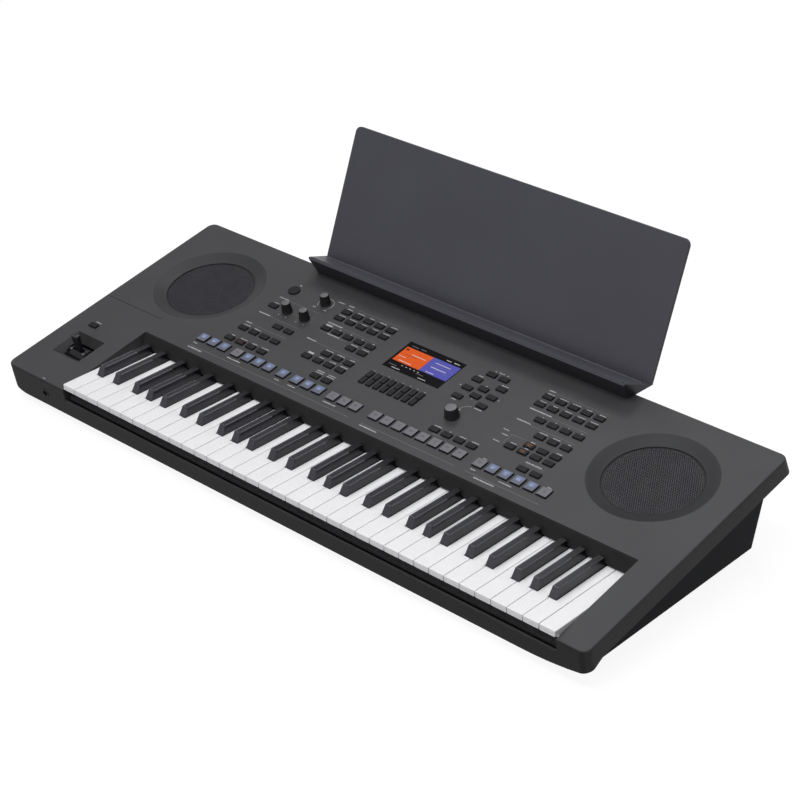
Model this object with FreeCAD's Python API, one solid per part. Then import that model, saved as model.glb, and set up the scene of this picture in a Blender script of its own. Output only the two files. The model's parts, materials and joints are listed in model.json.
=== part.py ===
import FreeCAD, Part
import math
import os

V = FreeCAD.Vector
X_AXIS = V(1, 0, 0)
Y_AXIS = V(0, 1, 0)
Z_AXIS = V(0, 0, 1)

# Upper shell: a flat sloping panel with a short side wall square to it
cheek_left = 118.9
cheek_right = 42.7
panel_back_margin = 64.8
panel_tilt = 11.1
panel_front_z = 54.4
band_depth = 26.0
back_lean = 7.0
wall = 3.0
corner_r = 12.0
edge_r = 2.5
seam_gap = 0.4

# Front apron below the panel's front edge, round both corners, with ends that sweep up
apron_depth = 44.0
apron_end_depth = 32.5
apron_return = 30.0
apron_sweep_left = 30.0
apron_sweep_right = 95.0
rail_top = 18.8

# Lower shell: a wedge-shaped tray set in from the upper shell's edge
foot_height = 8.0
foot_r = 13.0
foot_taper = 1.5
foot_inset_x = 75.0
foot_front_y = 60.0
foot_back_inset = 31.0
tray_side_inset = 20.0
tray_front_y = 23.0
tray_apron_gap = 1.0
tray_back_inset = 3.4
tray_back_lean = 27.0
tray_corner_r = 5.0

# Screws that pull the two shells together, and their posts
post_r = 4.5
post_floor_gap = 0.2
screw_r = 1.5
screw_head_r = 3.4
screw_head_h = 1.6
screw_length = 16.0
screw_clear = 0.3
post_side_inset = 8.4
post_front_s = 32.0
post_middle_s = 190.0
post_back_inset = 57.4
post_dish_gap = 2.0

# Keys
white_count = 36
key_pitch = 23.5
key_gap = 0.9
key_setback = 1.2
key_top_rise = 9.6
key_body = 14.0
key_lip = 8.0
key_lip_overhang = 9.0
white_head = 48.0
black_front = 49.0
black_width = 11.8
black_top_width = 9.4
black_height = 12.0
black_front_slope = 6.0
black_back = 139.0
black_body_width = 9.4
black_cap_lap = 1.0
pair_extra = 8.2
triple_extra = 8.0
key_side_gap = 0.9
key_hub_width = 8.0
key_hub_length = 13.0
key_pivot_back = 200.0
key_pivot_drop = 7.0
key_hub_overrun = 5.5
key_dip = 10.0

# Key well: window in the panel around the keys
well_side_gap = 1.2
well_back_lean = 14.35
well_black_gap = 2.35
well_key_gap = 1.8
well_side_depth = 22.0

# Keybed under the keys
rod_r = 2.5
rod_clear = 0.1
bracket_t = 2.0
bracket_half = 6.0
keybed_t = 2.0
keybed_side_gap = 0.8
keybed_front_y = 11.0
keybed_behind_pivot = 12.8
keybed_leg_front_y = 34.0
felt_width = 14.0
felt_gap = 0.4
felt_t = 3.5
back_felt_t = 1.5
board_t = 1.6
contact_y = 105.0
contact_width = 34.0
contact_margin = 4.0
strip_margin = 6.0
strip_t = 1.5
dome_r = 3.4
dome_flare = 1.0
dome_gap = 1.0
spring_t = 0.6
spring_width = 5.0
spring_root_ahead = 28.0
spring_length = 26.0
spring_base = 14.0
spring_gap = 0.8
spring_lap = 2.0

# Buttons: caps that rise through the panel from a web under it
cap_rise = 2.2
cap_clear = 0.5
button_w = 14.5
button_d = 8.0
pad_size = 15.5
screen_key_w = 8.0
screen_key_d = 12.4
web_drop = 5.0
web_t = 1.4
web_margin = 2.2
button_travel = 1.2
button_pitch = 20.5
pad_pitch = 20.4
pad_group_step = 25.8
screen_key_pitch_x = 12.6
screen_key_pitch_s = 14.1

# Steps from row to row of buttons along the slope, from the key well to the back
step_pad = 32.9
step_1 = 20.2
step_2 = 26.6
step_2_right = 25.6
step_3_left = 17.0
step_3_right = 13.6
step_4_left = 26.6
step_4_right = 20.8
step_5_left = 26.6
step_6_left = 16.6
step_6_right = 25.7
step_7_left = 26.8
step_7_right = 26.1
step_8 = 15.2

# Steps from block to block of buttons across the panel, from the left speaker to the right
block_left = 35.6
block_pad_left = 31.4
block_style = 101.6
block_screen = 123.2
block_nav = 129.2
block_low = 19.9
block_voice = 102.2
block_pad_middle = 65.5
block_pad_right = 9.8
screen_key_step = 27.8
nav_step = 68.6
nav_pitch_x = 20.4
nav_pitch_s = 20.2
nav_page_offset = 10.2
nav_page_step = 17.8
nav_arrow_half = 8.1

# Turning controls: tapered knobs on pots under the panel
knob_r_base = 7.7
knob_r_top = 6.4
knob_height = 15.5
knob_gap = 0.6
knob_skirt = 1.6
stem_r = 3.0
stem_clear = 0.1
stem_hole_gap = 0.6
pot_size = 13.0
volume_step = 61.5
knob_left_step = 26.9
knob_right_step = 60.6
dial_step_x = 1.2
dial_step_s = 33.2
dial_r_base = 10.3
dial_r_top = 8.4
dial_height = 14.5
power_r = 8.6
hold_from_left = 42.6
hold_s = 125.6

# Screen
screen_step_x = 47.4
screen_step_s = 116.8
screen_w = 98.0
screen_d = 59.0
screen_t = 2.0
screen_sink = 0.2
screen_clear = 0.4
module_edge = 3.0
panel_board_gap = 1.4
board_seam = 0.5
board_boss_r = 3.0
board_boss_inset = 4.5

# Loudspeakers behind round dished openings
speaker_from_side = 116.6
speaker_from_back = 118.4
dish_r = 82.0
mesh_r = 64.0
dish_depth = 7.0
dish_wall = 2.5
mesh_t = 1.0
mesh_seat = 4.0
mesh_clear = 0.3
basket_lip = 2.0
basket_t = 2.0
basket_depth = 34.0
basket_back_r = 34.0
magnet_r = 31.0
magnet_h = 17.0
cone_edge_gap = 2.1
cone_roll = 4.0
cone_sink = 1.0
coil_r = 20.0
cone_back_r = 14.0
cone_depth = 24.0
cone_t = 1.0

# Joystick: drum that rolls fore and aft, with a stick that swings sideways in it
joy_from_left = 61.1
joy_s = 80.2
joy_mouth_w = 54.5
joy_mouth_d = 51.0
joy_throat_w = 36.0
joy_throat_d = 30.0
joy_depth = 10.0
joy_wall = 2.5
drum_r = 14.0
drum_length = 33.0
drum_drop = 19.0
drum_axle_r = 4.0
drum_axle_length = 5.0
axle_clear = 0.1
drum_gap = 1.0
slot_half_x = 10.8
stick_t = 6.4
stick_clear = 0.5
stick_hub_r = 5.5
stick_waist = 3.4
stick_root = 4.5
stick_top_half = 5.2
stick_top = 20.0
stick_saddle = 3.0
pin_r = 1.5
housing_t = 3.0
housing_half_s = 12.0
housing_floor = 36.0

# Music rest: a plate leaning back over a ledge square to it, set in slots at the panel's back
rest_lean = 20.3
rest_width = 570.0
rest_height = 191.0
rest_t = 5.0
rest_corner_r = 9.0
ledge_depth = 48.0
ledge_end_fore = 0.27
ledge_end_down = 0.31
ledge_lip_h = 1.6
ledge_lip_t = 2.4
ledge_lip_inset = 4.0
ledge_wall = 3.0
rest_corner_back = 18.0
rest_corner_up = 9.2
rest_foot_front = 13.4
rest_foot_back = 1.0
rest_seat_gap = 0.2
tab_x = 180.0
tab_width = 60.0
tab_t = 4.0
tab_depth = 12.0
tab_from_back = 6.0
tab_clear = 0.4

# Sockets
phones_from_left = 75.0
phones_drop = 23.0
jack_bore_r = 3.3
jack_body_r = 6.0
jack_length = 24.0
jack_bore_length = 20.0
jack_room_gap = 2.0
jack_mouth_r = 4.6
jack_plate_width = 190.0
jack_plate_height = 70.0
jack_plate_t = 2.0
jack_plate_lap = 5.0
jack_plate_x = -150.0
jack_plate_up = 52.0
jack_pitch = 26.0
jack_count = 3
usb_w = 13.0
usb_h = 8.0
usb_from_jack = 30.0
dc_from_usb = 26.0
dc_r = 4.0
dc_wall = 3.0
dc_pin_r = 1.0
dc_pin_sink = 2.0
port_depth = 13.0
port_end = 3.0
port_wall = 1.5
port_lip = 0.5

# Circuit board on the tray's floor
main_board_w = 220.0
main_board_d = 80.0
main_board_back = 16.0
standoff_h = 5.0
standoff_r = 3.5
chip_size = 24.0
chip_h = 3.0
standoff_inset = 8.0

# Thin groove that marks off the left end of the panel
groove_s = 188.0
groove_width = 0.9
groove_depth = 0.6
groove_start = 6.0
groove_end = 112.5

# Derived positions
tilt = math.radians(panel_tilt)
lean = math.radians(rest_lean)
case_width = cheek_left + white_count * key_pitch + 2 * well_side_gap + cheek_right
half_w = case_width / 2
well_key_length = black_back + well_black_gap
well_back_s = well_key_length + well_back_lean
row_pad = well_back_s + step_pad
row_1 = row_pad + step_1
row_2 = row_1 + step_2
row_2_right = row_1 + step_2_right
row_3_left = row_2 + step_3_left
row_3_right = row_2_right + step_3_right
row_4_left = row_2 + step_4_left
row_4_right = row_3_right + step_4_right
row_5_left = row_3_left + step_5_left
row_6_left = row_5_left + step_6_left
row_6_right = row_4_right + step_6_right
row_7_left = row_6_left + step_7_left
row_7_right = row_6_right + step_7_right
row_8 = row_7_left + step_8
row_screen = row_1 + screen_key_step
row_nav = row_1 + nav_step
nav_page_row = row_nav + 2 * nav_pitch_s + nav_page_step
panel_length = row_8 + panel_back_margin
speaker_x = half_w - speaker_from_side
speaker_s = panel_length - speaker_from_back
col_left = dish_r + block_left - speaker_x
col_pad_left = col_left - block_pad_left
col_style = col_left + block_style
col_screen = col_style + block_screen
col_nav = col_screen + block_nav
col_low = col_nav + block_low
col_voice = col_nav + block_voice
col_pad_middle = col_screen + block_pad_middle
col_pad_right = col_voice + block_pad_right
volume_at = (col_left + volume_step, row_8)
knob_left_at = (col_left + knob_left_step, row_6_left)
knob_right_at = (col_left + knob_right_step, row_6_left)
dial_at = (col_low + dial_step_x, row_1 + dial_step_s)
power_at = (col_left, row_8)
hold_at = (hold_from_left - half_w, hold_s)
screen_at = (col_screen + screen_step_x, row_pad + screen_step_s)
joy_at = (joy_from_left - half_w, joy_s)
phones_at_x = phones_from_left - half_w
basket_r = mesh_r + basket_lip
panel_back_y = panel_length * math.cos(tilt)
panel_back_z = panel_front_z + panel_length * math.sin(tilt)
rest_corner_y = panel_back_y + rest_corner_back
rest_corner_z = panel_back_z + rest_corner_up
total_depth = rest_corner_y + rest_height * math.sin(lean) + rest_t * math.cos(lean)
front_y = -(total_depth + edge_r * math.sin(tilt)) / 2
key_left = cheek_left + well_side_gap - half_w
key_right = half_w - cheek_right - well_side_gap
key_front_y = front_y + key_setback
key_top_z = panel_front_z + key_top_rise
pivot_y = key_front_y + key_pivot_back
pivot_z = key_top_z - key_pivot_drop
floor_z = foot_height + wall
tray_back_top_y = panel_back_y - tray_back_inset
tray_back_bottom_y = tray_back_top_y - tray_back_lean
key_hub_start = key_pivot_back - key_hub_length
keybed_back_y = key_setback + key_pivot_back + keybed_behind_pivot
spring_root_y = key_pivot_back - spring_root_ahead
spring_tip_y = spring_root_y - spring_length
panel_board_drop = web_drop + web_t + button_travel + panel_board_gap
PANEL = FreeCAD.Placement(V(0, front_y, panel_front_z), FreeCAD.Rotation(X_AXIS, panel_tilt))


def block(x0, x1, y0, y1, z0, z1):
    return Part.makeBox(x1 - x0, y1 - y0, z1 - z0, V(x0, y0, z0))


def centred(x, y, w, d, z0, z1):
    return block(x - w / 2, x + w / 2, y - d / 2, y + d / 2, z0, z1)


def polygon(points):
    """Closed wire through points, without repeats of the point before."""
    kept = [p for i, p in enumerate(points) if p.distanceToPoint(points[i - 1]) > 1e-6]
    return Part.makePolygon(kept + kept[:1])


def prism(points, along):
    return Part.Face(polygon(points)).extrude(along)


def rectangle(x, y, w, d, z):
    corners = ((-1, -1), (1, -1), (1, 1), (-1, 1))
    return polygon([V(x + i * w / 2, y + j * d / 2, z) for i, j in corners])


def taper(lower, upper):
    return Part.makeLoft([lower, upper], True, True)


def turned(profile, x, s):
    """Solid of revolution from (radius, height) points about the line at x, s."""
    face = Part.Face(polygon([V(r, 0, h) for r, h in profile]))
    solid = face.revolve(V(0, 0, 0), Z_AXIS, 360)
    solid.translate(V(x, s, 0))
    return solid


def on_panel(shape):
    moved = shape.copy()
    moved.Placement = PANEL.multiply(moved.Placement)
    return moved


def panel_coords(y, z):
    """Distance along the slope and height above the panel of a point in the part's frame."""
    rel = PANEL.inverse().multVec(V(0, y, z))
    return rel.y, rel.z


def panel_point(x, s, h):
    return PANEL.multVec(V(x, s, h))


def joined(first, others):
    return first.multiFuse(others).removeSplitter()


def group(solids):
    return Part.makeCompound(solids)


def row(x, s, count, pitch=button_pitch):
    return [(x + i * pitch, s) for i in range(count)]


# Button places, as (x, distance along the slope)
left_buttons = (row(col_left, row_6_left, 1)
                + row(col_left + 2 * button_pitch, row_4_left, 2)
                + row(col_left, row_2, 4)
                + row(col_left, row_1, 4))
style_buttons = (row(col_style, row_8, 5)
                 + row(col_style, row_7_left, 5)
                 + row(col_style, row_6_left, 5)
                 + row(col_style + 3 * button_pitch, row_5_left, 2)
                 + row(col_style + 2 * button_pitch, row_3_left, 3)
                 + row(col_style + button_pitch, row_2, 4)
                 + row(col_style + 3 * button_pitch, row_1, 2))
voice_buttons = (row(col_voice, row_8, 5)
                 + row(col_voice, row_7_right, 5)
                 + row(col_voice + button_pitch, row_6_right, 4)
                 + row(col_voice + 2 * button_pitch, row_4_right, 3)
                 + row(col_voice + 2 * button_pitch, row_3_right, 3)
                 + row(col_voice + button_pitch, row_2_right, 4)
                 + row(col_voice + 3 * button_pitch, row_1, 2))
nav_buttons = ([(col_nav + i * 2 * nav_pitch_x, row_nav + j * nav_pitch_s)
                for i in range(2) for j in range(3)]
               + row(col_nav + nav_pitch_x, row_nav + nav_pitch_s - nav_arrow_half, 1)
               + row(col_nav + nav_pitch_x, row_nav + nav_pitch_s + nav_arrow_half, 1)
               + row(col_nav + nav_page_offset, nav_page_row, 2, nav_pitch_x)
               + row(col_low, row_1, 4))
screen_keys = [place for j in range(2)
               for place in row(col_screen, row_screen + j * screen_key_pitch_s, 8, screen_key_pitch_x)]


def pad_row(start, groups):
    """Pads at an even pitch, with a wider step between groups."""
    places = []
    x = start
    for size in groups:
        places += row(x, row_pad, size, pad_pitch)
        x += (size - 1) * pad_pitch + pad_group_step
    return places


left_pads = pad_row(col_pad_left, (3, 4, 1, 3, 3))
middle_pads = pad_row(col_pad_middle, (8,))
right_pads = pad_row(col_pad_right, (6,))

# Each bank: places of its caps, cap width and cap depth
BANKS = {
    "left_buttons": (left_buttons, button_w, button_d),
    "style_buttons": (style_buttons, button_w, button_d),
    "voice_buttons": (voice_buttons, button_w, button_d),
    "navigation_buttons": (nav_buttons, button_w, button_d),
    "screen_keys": (screen_keys, screen_key_w, screen_key_d),
    "left_pads": (left_pads, pad_size, pad_size),
    "middle_pads": (middle_pads, pad_size, pad_size),
    "right_pads": (right_pads, pad_size, pad_size),
}
KNOBS = {
    "volume_knob": volume_at,
    "control_knob_left": knob_left_at,
    "control_knob_right": knob_right_at,
}


def web_links(places, w, d):
    """Flat strips that tie neighbouring caps of one bank together under the panel."""
    strips = []
    done = [places[0]]
    rest = places[1:]
    while rest:
        near = min(rest, key=lambda p: min(abs(p[0] - q[0]) + abs(p[1] - q[1]) for q in done))
        mate = min(done, key=lambda q: abs(near[0] - q[0]) + abs(near[1] - q[1]))
        x0, x1 = sorted((near[0], mate[0]))
        s0, s1 = sorted((near[1], mate[1]))
        strips.append(block(x0 - w / 2, x1 + w / 2, s0 - d / 2, s1 + d / 2,
                            -web_drop - web_t, -web_drop))
        done.append(near)
        rest.remove(near)
    return strips


def button_bank(places, w, d):
    caps = [centred(x, s, w, d, -web_drop - web_t, cap_rise) for x, s in places]
    skirts = [centred(x, s, w + 2 * web_margin, d + 2 * web_margin, -web_drop - web_t, -web_drop)
              for x, s in places]
    return on_panel(joined(caps[0], caps[1:] + skirts + web_links(places, w, d)))


def button_holes():
    holes = [centred(x, s, w + 2 * cap_clear, d + 2 * cap_clear, -2 * wall, wall)
             for places, w, d in BANKS.values() for x, s in places]
    x, s = hold_at
    holes.append(centred(x, s, button_w + 2 * cap_clear, button_d + 2 * cap_clear, -2 * wall, wall))
    for x, s in list(KNOBS.values()) + [dial_at]:
        holes.append(Part.makeCylinder(stem_r + stem_hole_gap, 3 * wall, V(x, s, -2 * wall)))
    x, s = power_at
    holes.append(Part.makeCylinder(power_r + cap_clear, 3 * wall, V(x, s, -2 * wall)))
    x, s = screen_at
    holes.append(centred(x, s, screen_w + 2 * screen_clear, screen_d + 2 * screen_clear, -2 * wall, wall))
    for x in (-tab_x, tab_x):
        holes.append(centred(x, panel_length - tab_from_back, tab_width + 2 * tab_clear,
                             tab_t + 2 * tab_clear, -2 * wall, wall))
    return holes


def shell_slab(inset, low, high):
    """Slab with the upper shell's outline and leaning back, set in all round."""

    def back(h):
        return panel_length - inset - back_lean * h / band_depth

    x = -half_w + inset
    slab = prism([V(x, inset, low), V(x, back(low), low), V(x, back(high), high), V(x, inset, high)],
                 V(-2 * x, 0, 0))
    upright = [e for e in slab.Edges if abs(e.tangentAt(e.FirstParameter).z) > 0.9]
    return slab.makeFillet(corner_r - inset, upright)


def apron():
    """Front wall below the panel and round its corners, with an arc up to each end."""
    top = wall - band_depth
    low = -apron_depth
    drop = apron_depth - apron_end_depth

    def sweep(end_x, run):
        radius = (run * run + drop * drop) / (2 * drop)
        half = math.asin(abs(run) / radius) / 2
        foot_x = end_x + run
        sign = math.copysign(1, run)
        middle = V(foot_x - sign * radius * math.sin(half), 0, radius * (1 - math.cos(half)) + low)
        return V(end_x, 0, -apron_end_depth), middle, V(foot_x, 0, low)

    a = sweep(-half_w, apron_sweep_left)
    b = sweep(half_w, -apron_sweep_right)
    edges = [Part.makeLine(V(-half_w, 0, top), a[0]),
             Part.Arc(*a).toShape(),
             Part.makeLine(a[2], b[2]),
             Part.Arc(b[2], b[1], b[0]).toShape(),
             Part.makeLine(b[0], V(half_w, 0, top)),
             Part.makeLine(V(half_w, 0, top), V(-half_w, 0, top))]
    front_view = Part.Face(Part.Wire(edges)).extrude(V(0, apron_return, 0))
    side_view = prism([V(-half_w, 0, top), V(-half_w, apron_return, top), V(-half_w, apron_return, -band_depth),
                       V(-half_w, corner_r, -apron_end_depth), V(-half_w, wall, low), V(-half_w, 0, low)],
                      V(case_width, 0, 0))
    ring = shell_slab(0, low, top).cut(shell_slab(wall, low - wall, top))
    return ring.common(front_view).common(side_view)


def dish(x):
    """Conical wall from the panel down to the seat of the speaker mesh."""
    seat = -dish_depth - mesh_t
    bottom = seat - dish_wall
    return turned(((mesh_r - mesh_seat, seat), (mesh_r + mesh_clear, seat), (mesh_r + mesh_clear, -dish_depth),
                   (dish_r, 0), (dish_r + dish_wall, 0), (dish_r + dish_wall, -wall),
                   (mesh_r + dish_wall + mesh_clear, bottom), (mesh_r - mesh_seat, bottom)), x, speaker_s)


def joystick_funnel():
    x, s = joy_at
    outer = taper(rectangle(x, s, joy_mouth_w + 2 * joy_wall, joy_mouth_d + 2 * joy_wall, -edge_r / 2),
                  rectangle(x, s, joy_throat_w + 2 * joy_wall, joy_throat_d + 2 * joy_wall,
                            -joy_depth - joy_wall))
    inner = taper(rectangle(x, s, joy_mouth_w, joy_mouth_d, 0),
                  rectangle(x, s, joy_throat_w, joy_throat_d, -joy_depth))
    throat = centred(x, s, joy_throat_w, joy_throat_d, -joy_depth - 2 * joy_wall, -joy_depth)
    return outer, [inner, throat]


def post_places():
    side = half_w - tray_side_inset - wall - post_side_inset
    back = speaker_x - dish_r - dish_wall - post_dish_gap - post_r
    places = ((side, post_front_s), (side, post_middle_s), (back, panel_length - post_back_inset))
    return [(sign * x, s) for x, s in places for sign in (-1, 1)]


def screw_post(x, s):
    """Upright post from the panel down to the tray's floor, bored for a screw."""
    at = panel_point(x, s, -wall / 2)
    foot = floor_z + post_floor_gap
    post = Part.makeCylinder(post_r, at.z - foot, V(x, at.y, foot))
    return post.cut(Part.makeCylinder(screw_r + screw_clear, screw_length, V(x, at.y, foot)))


def board_ends():
    """Outer ends of the outer panel boards, with room for a boss beside the buttons."""
    margin = button_w / 2 + web_margin + 2 * board_boss_inset
    return col_left - margin, col_voice + 4 * button_pitch + margin


def board_bosses():
    """Short bosses under the panel, one at the outer end of each outer panel board."""
    s = (row_pad + row_8) / 2
    left, right = board_ends()
    return [Part.makeCylinder(board_boss_r, panel_board_drop - wall / 2, V(x, s, -panel_board_drop))
            for x in (left + board_boss_inset, right - board_boss_inset)]


def upper_case():
    shell = shell_slab(0, -band_depth, 0)
    rim = [e for e in shell.Edges if e.BoundBox.ZMin > -1e-6]
    shell = shell.makeFillet(edge_r, rim).cut(shell_slab(wall, -band_depth - wall, -wall))

    well_left = key_left - well_side_gap
    well_right = key_right + well_side_gap
    low_s, low_h = panel_coords(key_front_y + well_key_length, key_top_z + well_key_gap)
    back_wall = prism([V(well_left, well_back_s, 0), V(well_left, low_s, low_h),
                       V(well_left, low_s + wall, low_h), V(well_left, well_back_s + 1.3 * wall, 0)],
                      V(well_right - well_left, 0, 0))
    cheeks = [block(x, x + wall, wall / 2, well_back_s + wall, -well_side_depth, -wall / 2)
              for x in (well_left - wall, well_right)]
    funnel, funnel_cut = joystick_funnel()
    dishes = [dish(x) for x in (-speaker_x, speaker_x)]
    window = block(well_left, well_right, -wall, well_back_s, -rail_top, wall)
    speaker_cut = [turned(((0, -dish_depth), (mesh_r, -dish_depth), (dish_r, 0), (dish_r, wall), (0, wall)),
                          x, speaker_s) for x in (-speaker_x, speaker_x)]
    speaker_bore = [Part.makeCylinder(mesh_r, dish_depth, V(x, speaker_s, -dish_depth))
                    for x in (-speaker_x, speaker_x)]
    groove = block(-half_w + groove_start, -half_w + groove_end, groove_s, groove_s + groove_width,
                   -groove_depth, wall)
    phones_hole = Part.makeCylinder(jack_mouth_r, 3 * wall, V(phones_at_x, -wall, -phones_drop), Y_AXIS)

    body = shell.fuse(apron())
    body = body.cut(group([window] + speaker_bore))
    body = body.multiFuse([back_wall, funnel] + cheeks)
    body = body.cut(group(funnel_cut + speaker_cut + [groove, phones_hole]))
    body = body.multiFuse(dishes + board_bosses())
    body = body.cut(group(button_holes()))
    body = on_panel(body.removeSplitter())
    posts = [screw_post(x, s) for x, s in post_places()]
    return body.multiFuse(posts).removeSplitter()


def tray_profile():
    """Side outline of the tray: front bottom, back bottom, back top, front top."""
    seat = wall - band_depth
    top_back_s = (tray_back_top_y + seat * math.sin(tilt)) / math.cos(tilt)
    back_top = panel_point(0, top_back_s, seat)
    front_top = panel_point(0, wall + tray_apron_gap, seat)
    return [V(0, front_y + tray_front_y, foot_height), V(0, front_y + tray_back_bottom_y, foot_height),
            V(0, back_top.y, back_top.z), V(0, front_top.y, front_top.z)]


def back_frame():
    """Frame on the tray's back wall: x along the wall, y up it, z into the case."""
    low, high = tray_profile()[1:3]
    up = high - low
    angle = math.degrees(math.atan2(up.z, up.y))
    return FreeCAD.Placement(low, FreeCAD.Rotation(X_AXIS, angle))


def on_back(shape):
    moved = shape.copy()
    moved.Placement = back_frame().multiply(moved.Placement)
    return moved


def lower_case():
    side = half_w - tray_side_inset
    solid = prism([p + V(-side, 0, 0) for p in tray_profile()], V(2 * side, 0, 0))
    upright = [e for e in solid.Edges if abs(e.tangentAt(e.FirstParameter).x) < 0.1
               and abs(e.tangentAt(e.FirstParameter).z) > 0.7]
    solid = solid.makeFillet(tray_corner_r, upright)
    outer = solid.copy()
    lid = max(solid.Faces, key=lambda f: f.CenterOfMass.z)
    tray = solid.makeThickness([lid], -wall, 1e-3)
    inset = wall + seam_gap
    flange = on_panel(shell_slab(inset, -band_depth, wall - band_depth)).cut(outer)
    body = tray.fuse(flange).removeSplitter()

    standoffs = [Part.makeCylinder(standoff_r, standoff_h, V(x, y, floor_z))
                 for x, y in main_board_corners()]
    room = jack_body_r + jack_room_gap
    jack_room = on_panel(block(phones_at_x - room, phones_at_x + room, wall, wall + jack_length + jack_room_gap,
                               -phones_drop - room, -phones_drop + room))
    opening = on_back(centred(jack_plate_x, jack_plate_up, jack_plate_width - 2 * jack_plate_lap,
                              jack_plate_height - 2 * jack_plate_lap, -wall, 2 * wall))
    screw_holes = []
    for x, s in post_places():
        y = panel_point(x, s, -wall / 2).y
        screw_holes.append(Part.makeCylinder(screw_r + screw_clear, 2 * wall, V(x, y, foot_height - wall / 2)))
        screw_holes.append(Part.makeCylinder(screw_head_r + screw_clear, screw_head_h, V(x, y, foot_height)))
    body = body.multiFuse(standoffs)
    return body.cut(group(screw_holes + [jack_room, opening])).removeSplitter()


def case_screws():
    screws = []
    for x, s in post_places():
        y = panel_point(x, s, -wall / 2).y
        head = Part.makeCylinder(screw_head_r, screw_head_h, V(x, y, foot_height))
        shank = Part.makeCylinder(screw_r, screw_length, V(x, y, foot_height + screw_head_h))
        screws.append(head.fuse(shank).removeSplitter())
    return group(screws)


def foot_places():
    return [(x, front_y + y) for x in (foot_inset_x - half_w, half_w - foot_inset_x)
            for y in (foot_front_y, tray_back_bottom_y - foot_back_inset)]


def rubber_feet():
    feet = []
    for x, y in foot_places():
        foot = Part.makeCone(foot_r - foot_taper, foot_r, foot_height, V(x, y, 0))
        feet.append(foot)
    return group(feet)


def black_offsets():
    """Black key centres in one octave, measured from the left edge of its first white key."""
    pair_centre = 1.5 * key_pitch
    triple_centre = 5 * key_pitch
    pair = (key_pitch + pair_extra) / 2
    triple = key_pitch + triple_extra / 2
    return [pair_centre - pair, pair_centre + pair, triple_centre - triple, triple_centre, triple_centre + triple]


def key_slots():
    """Centre of each black key over the whole keyboard."""
    octaves = (white_count - 1) // 7
    return [key_left + 7 * key_pitch * o + off for o in range(octaves) for off in black_offsets()]


def pivot_bore():
    return Part.makeCylinder(rod_r + rod_clear, case_width, V(-half_w, pivot_y, pivot_z), X_AXIS)


def white_tail(index):
    """Left and right edges of a white key behind its head, beside the black keys."""
    left = key_left + index * key_pitch + key_gap / 2
    right = left + key_pitch - key_gap
    slot = black_width / 2 + key_side_gap
    tail_left = max([left] + [c + slot for c in key_slots() if left - slot < c + slot < right])
    tail_right = min([right] + [c - slot for c in key_slots() if left < c - slot < right + slot])
    return left, right, tail_left, tail_right


def white_key(index):
    left, right, tail_left, tail_right = white_tail(index)
    hub = (tail_left + tail_right) / 2
    y0 = key_front_y + key_lip_overhang
    y1 = key_front_y + white_head
    y2 = key_front_y + key_hub_start
    y3 = pivot_y + key_hub_overrun
    z = key_top_z - key_body
    outline = [(left, y0), (right, y0), (right, y1), (tail_right, y1), (tail_right, y2),
               (hub + key_hub_width / 2, y2), (hub + key_hub_width / 2, y3),
               (hub - key_hub_width / 2, y3), (hub - key_hub_width / 2, y2),
               (tail_left, y2), (tail_left, y1), (left, y1)]
    body = prism([V(x, y, z) for x, y in outline], V(0, 0, key_body))
    lip = block(left, right, key_front_y, y0, key_top_z - key_lip, key_top_z)
    return body.fuse(lip).removeSplitter().cut(pivot_bore())


def black_key(centre):
    y0 = key_front_y + black_front
    y1 = key_front_y + black_back
    low = polygon([V(centre + i * black_width / 2, y, key_top_z)
                   for i, y in ((-1, y0), (1, y0), (1, y1), (-1, y1))])
    high = polygon([V(centre + i * black_top_width / 2, y, key_top_z + black_height)
                    for i, y in ((-1, y0 + black_front_slope), (1, y0 + black_front_slope),
                                 (1, y1), (-1, y1))])
    y2 = key_front_y + key_hub_start
    y3 = pivot_y + key_hub_overrun
    half = black_body_width / 2
    hub = key_hub_width / 2
    outline = [(-half, y0 + black_cap_lap), (half, y0 + black_cap_lap), (half, y2), (hub, y2), (hub, y3), (-hub, y3), (-hub, y2),
               (-half, y2)]
    body = prism([V(centre + x, y, key_top_z - key_body) for x, y in outline], V(0, 0, key_body))
    return taper(low, high).fuse(body).removeSplitter().cut(pivot_bore())


WHITE_NAMES = ("c", "d", "e", "f", "g", "a", "b")
BLACK_NAMES = ("c_sharp", "d_sharp", "f_sharp", "g_sharp", "a_sharp")


def key_nodes():
    """Single keys in the middle octave, and a set of white and of black keys in each other octave."""
    nodes = {}
    octaves = (white_count - 1) // 7
    slots = key_slots()
    for o in range(octaves):
        last = o == octaves - 1
        whites = [white_key(i) for i in range(7 * o, 7 * o + 7 + int(last))]
        blacks = [black_key(c) for c in slots[5 * o:5 * o + 5]]
        if o == octaves // 2:
            nodes.update({"key_" + n: k for n, k in zip(WHITE_NAMES, whites)})
            nodes.update({"key_" + n: k for n, k in zip(BLACK_NAMES, blacks)})
        else:
            nodes["white_keys_octave_%d" % (o + 1)] = group(whites)
            nodes["black_keys_octave_%d" % (o + 1)] = group(blacks)
    return nodes


def hub_centres():
    tails = [white_tail(i)[2:] for i in range(white_count)]
    return sorted([(a + b) / 2 for a, b in tails] + key_slots())


keybed_left = key_left - well_side_gap + keybed_side_gap
keybed_right = key_right + well_side_gap - keybed_side_gap
felt_top = key_top_z - key_body - key_dip - felt_gap
keybed_top = felt_top - felt_t


def pressed_drop(y):
    """How far a fully pressed key sinks at a distance y behind its front."""
    return key_dip * (key_pivot_back - y) / key_pivot_back


def bracket_places():
    octave = 7 * key_pitch
    ends = [key_left + bracket_t / 2, key_right - bracket_t / 2]
    return ends + [key_left + octave * k for k in range(1, (white_count - 1) // 7 + 1)]


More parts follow.
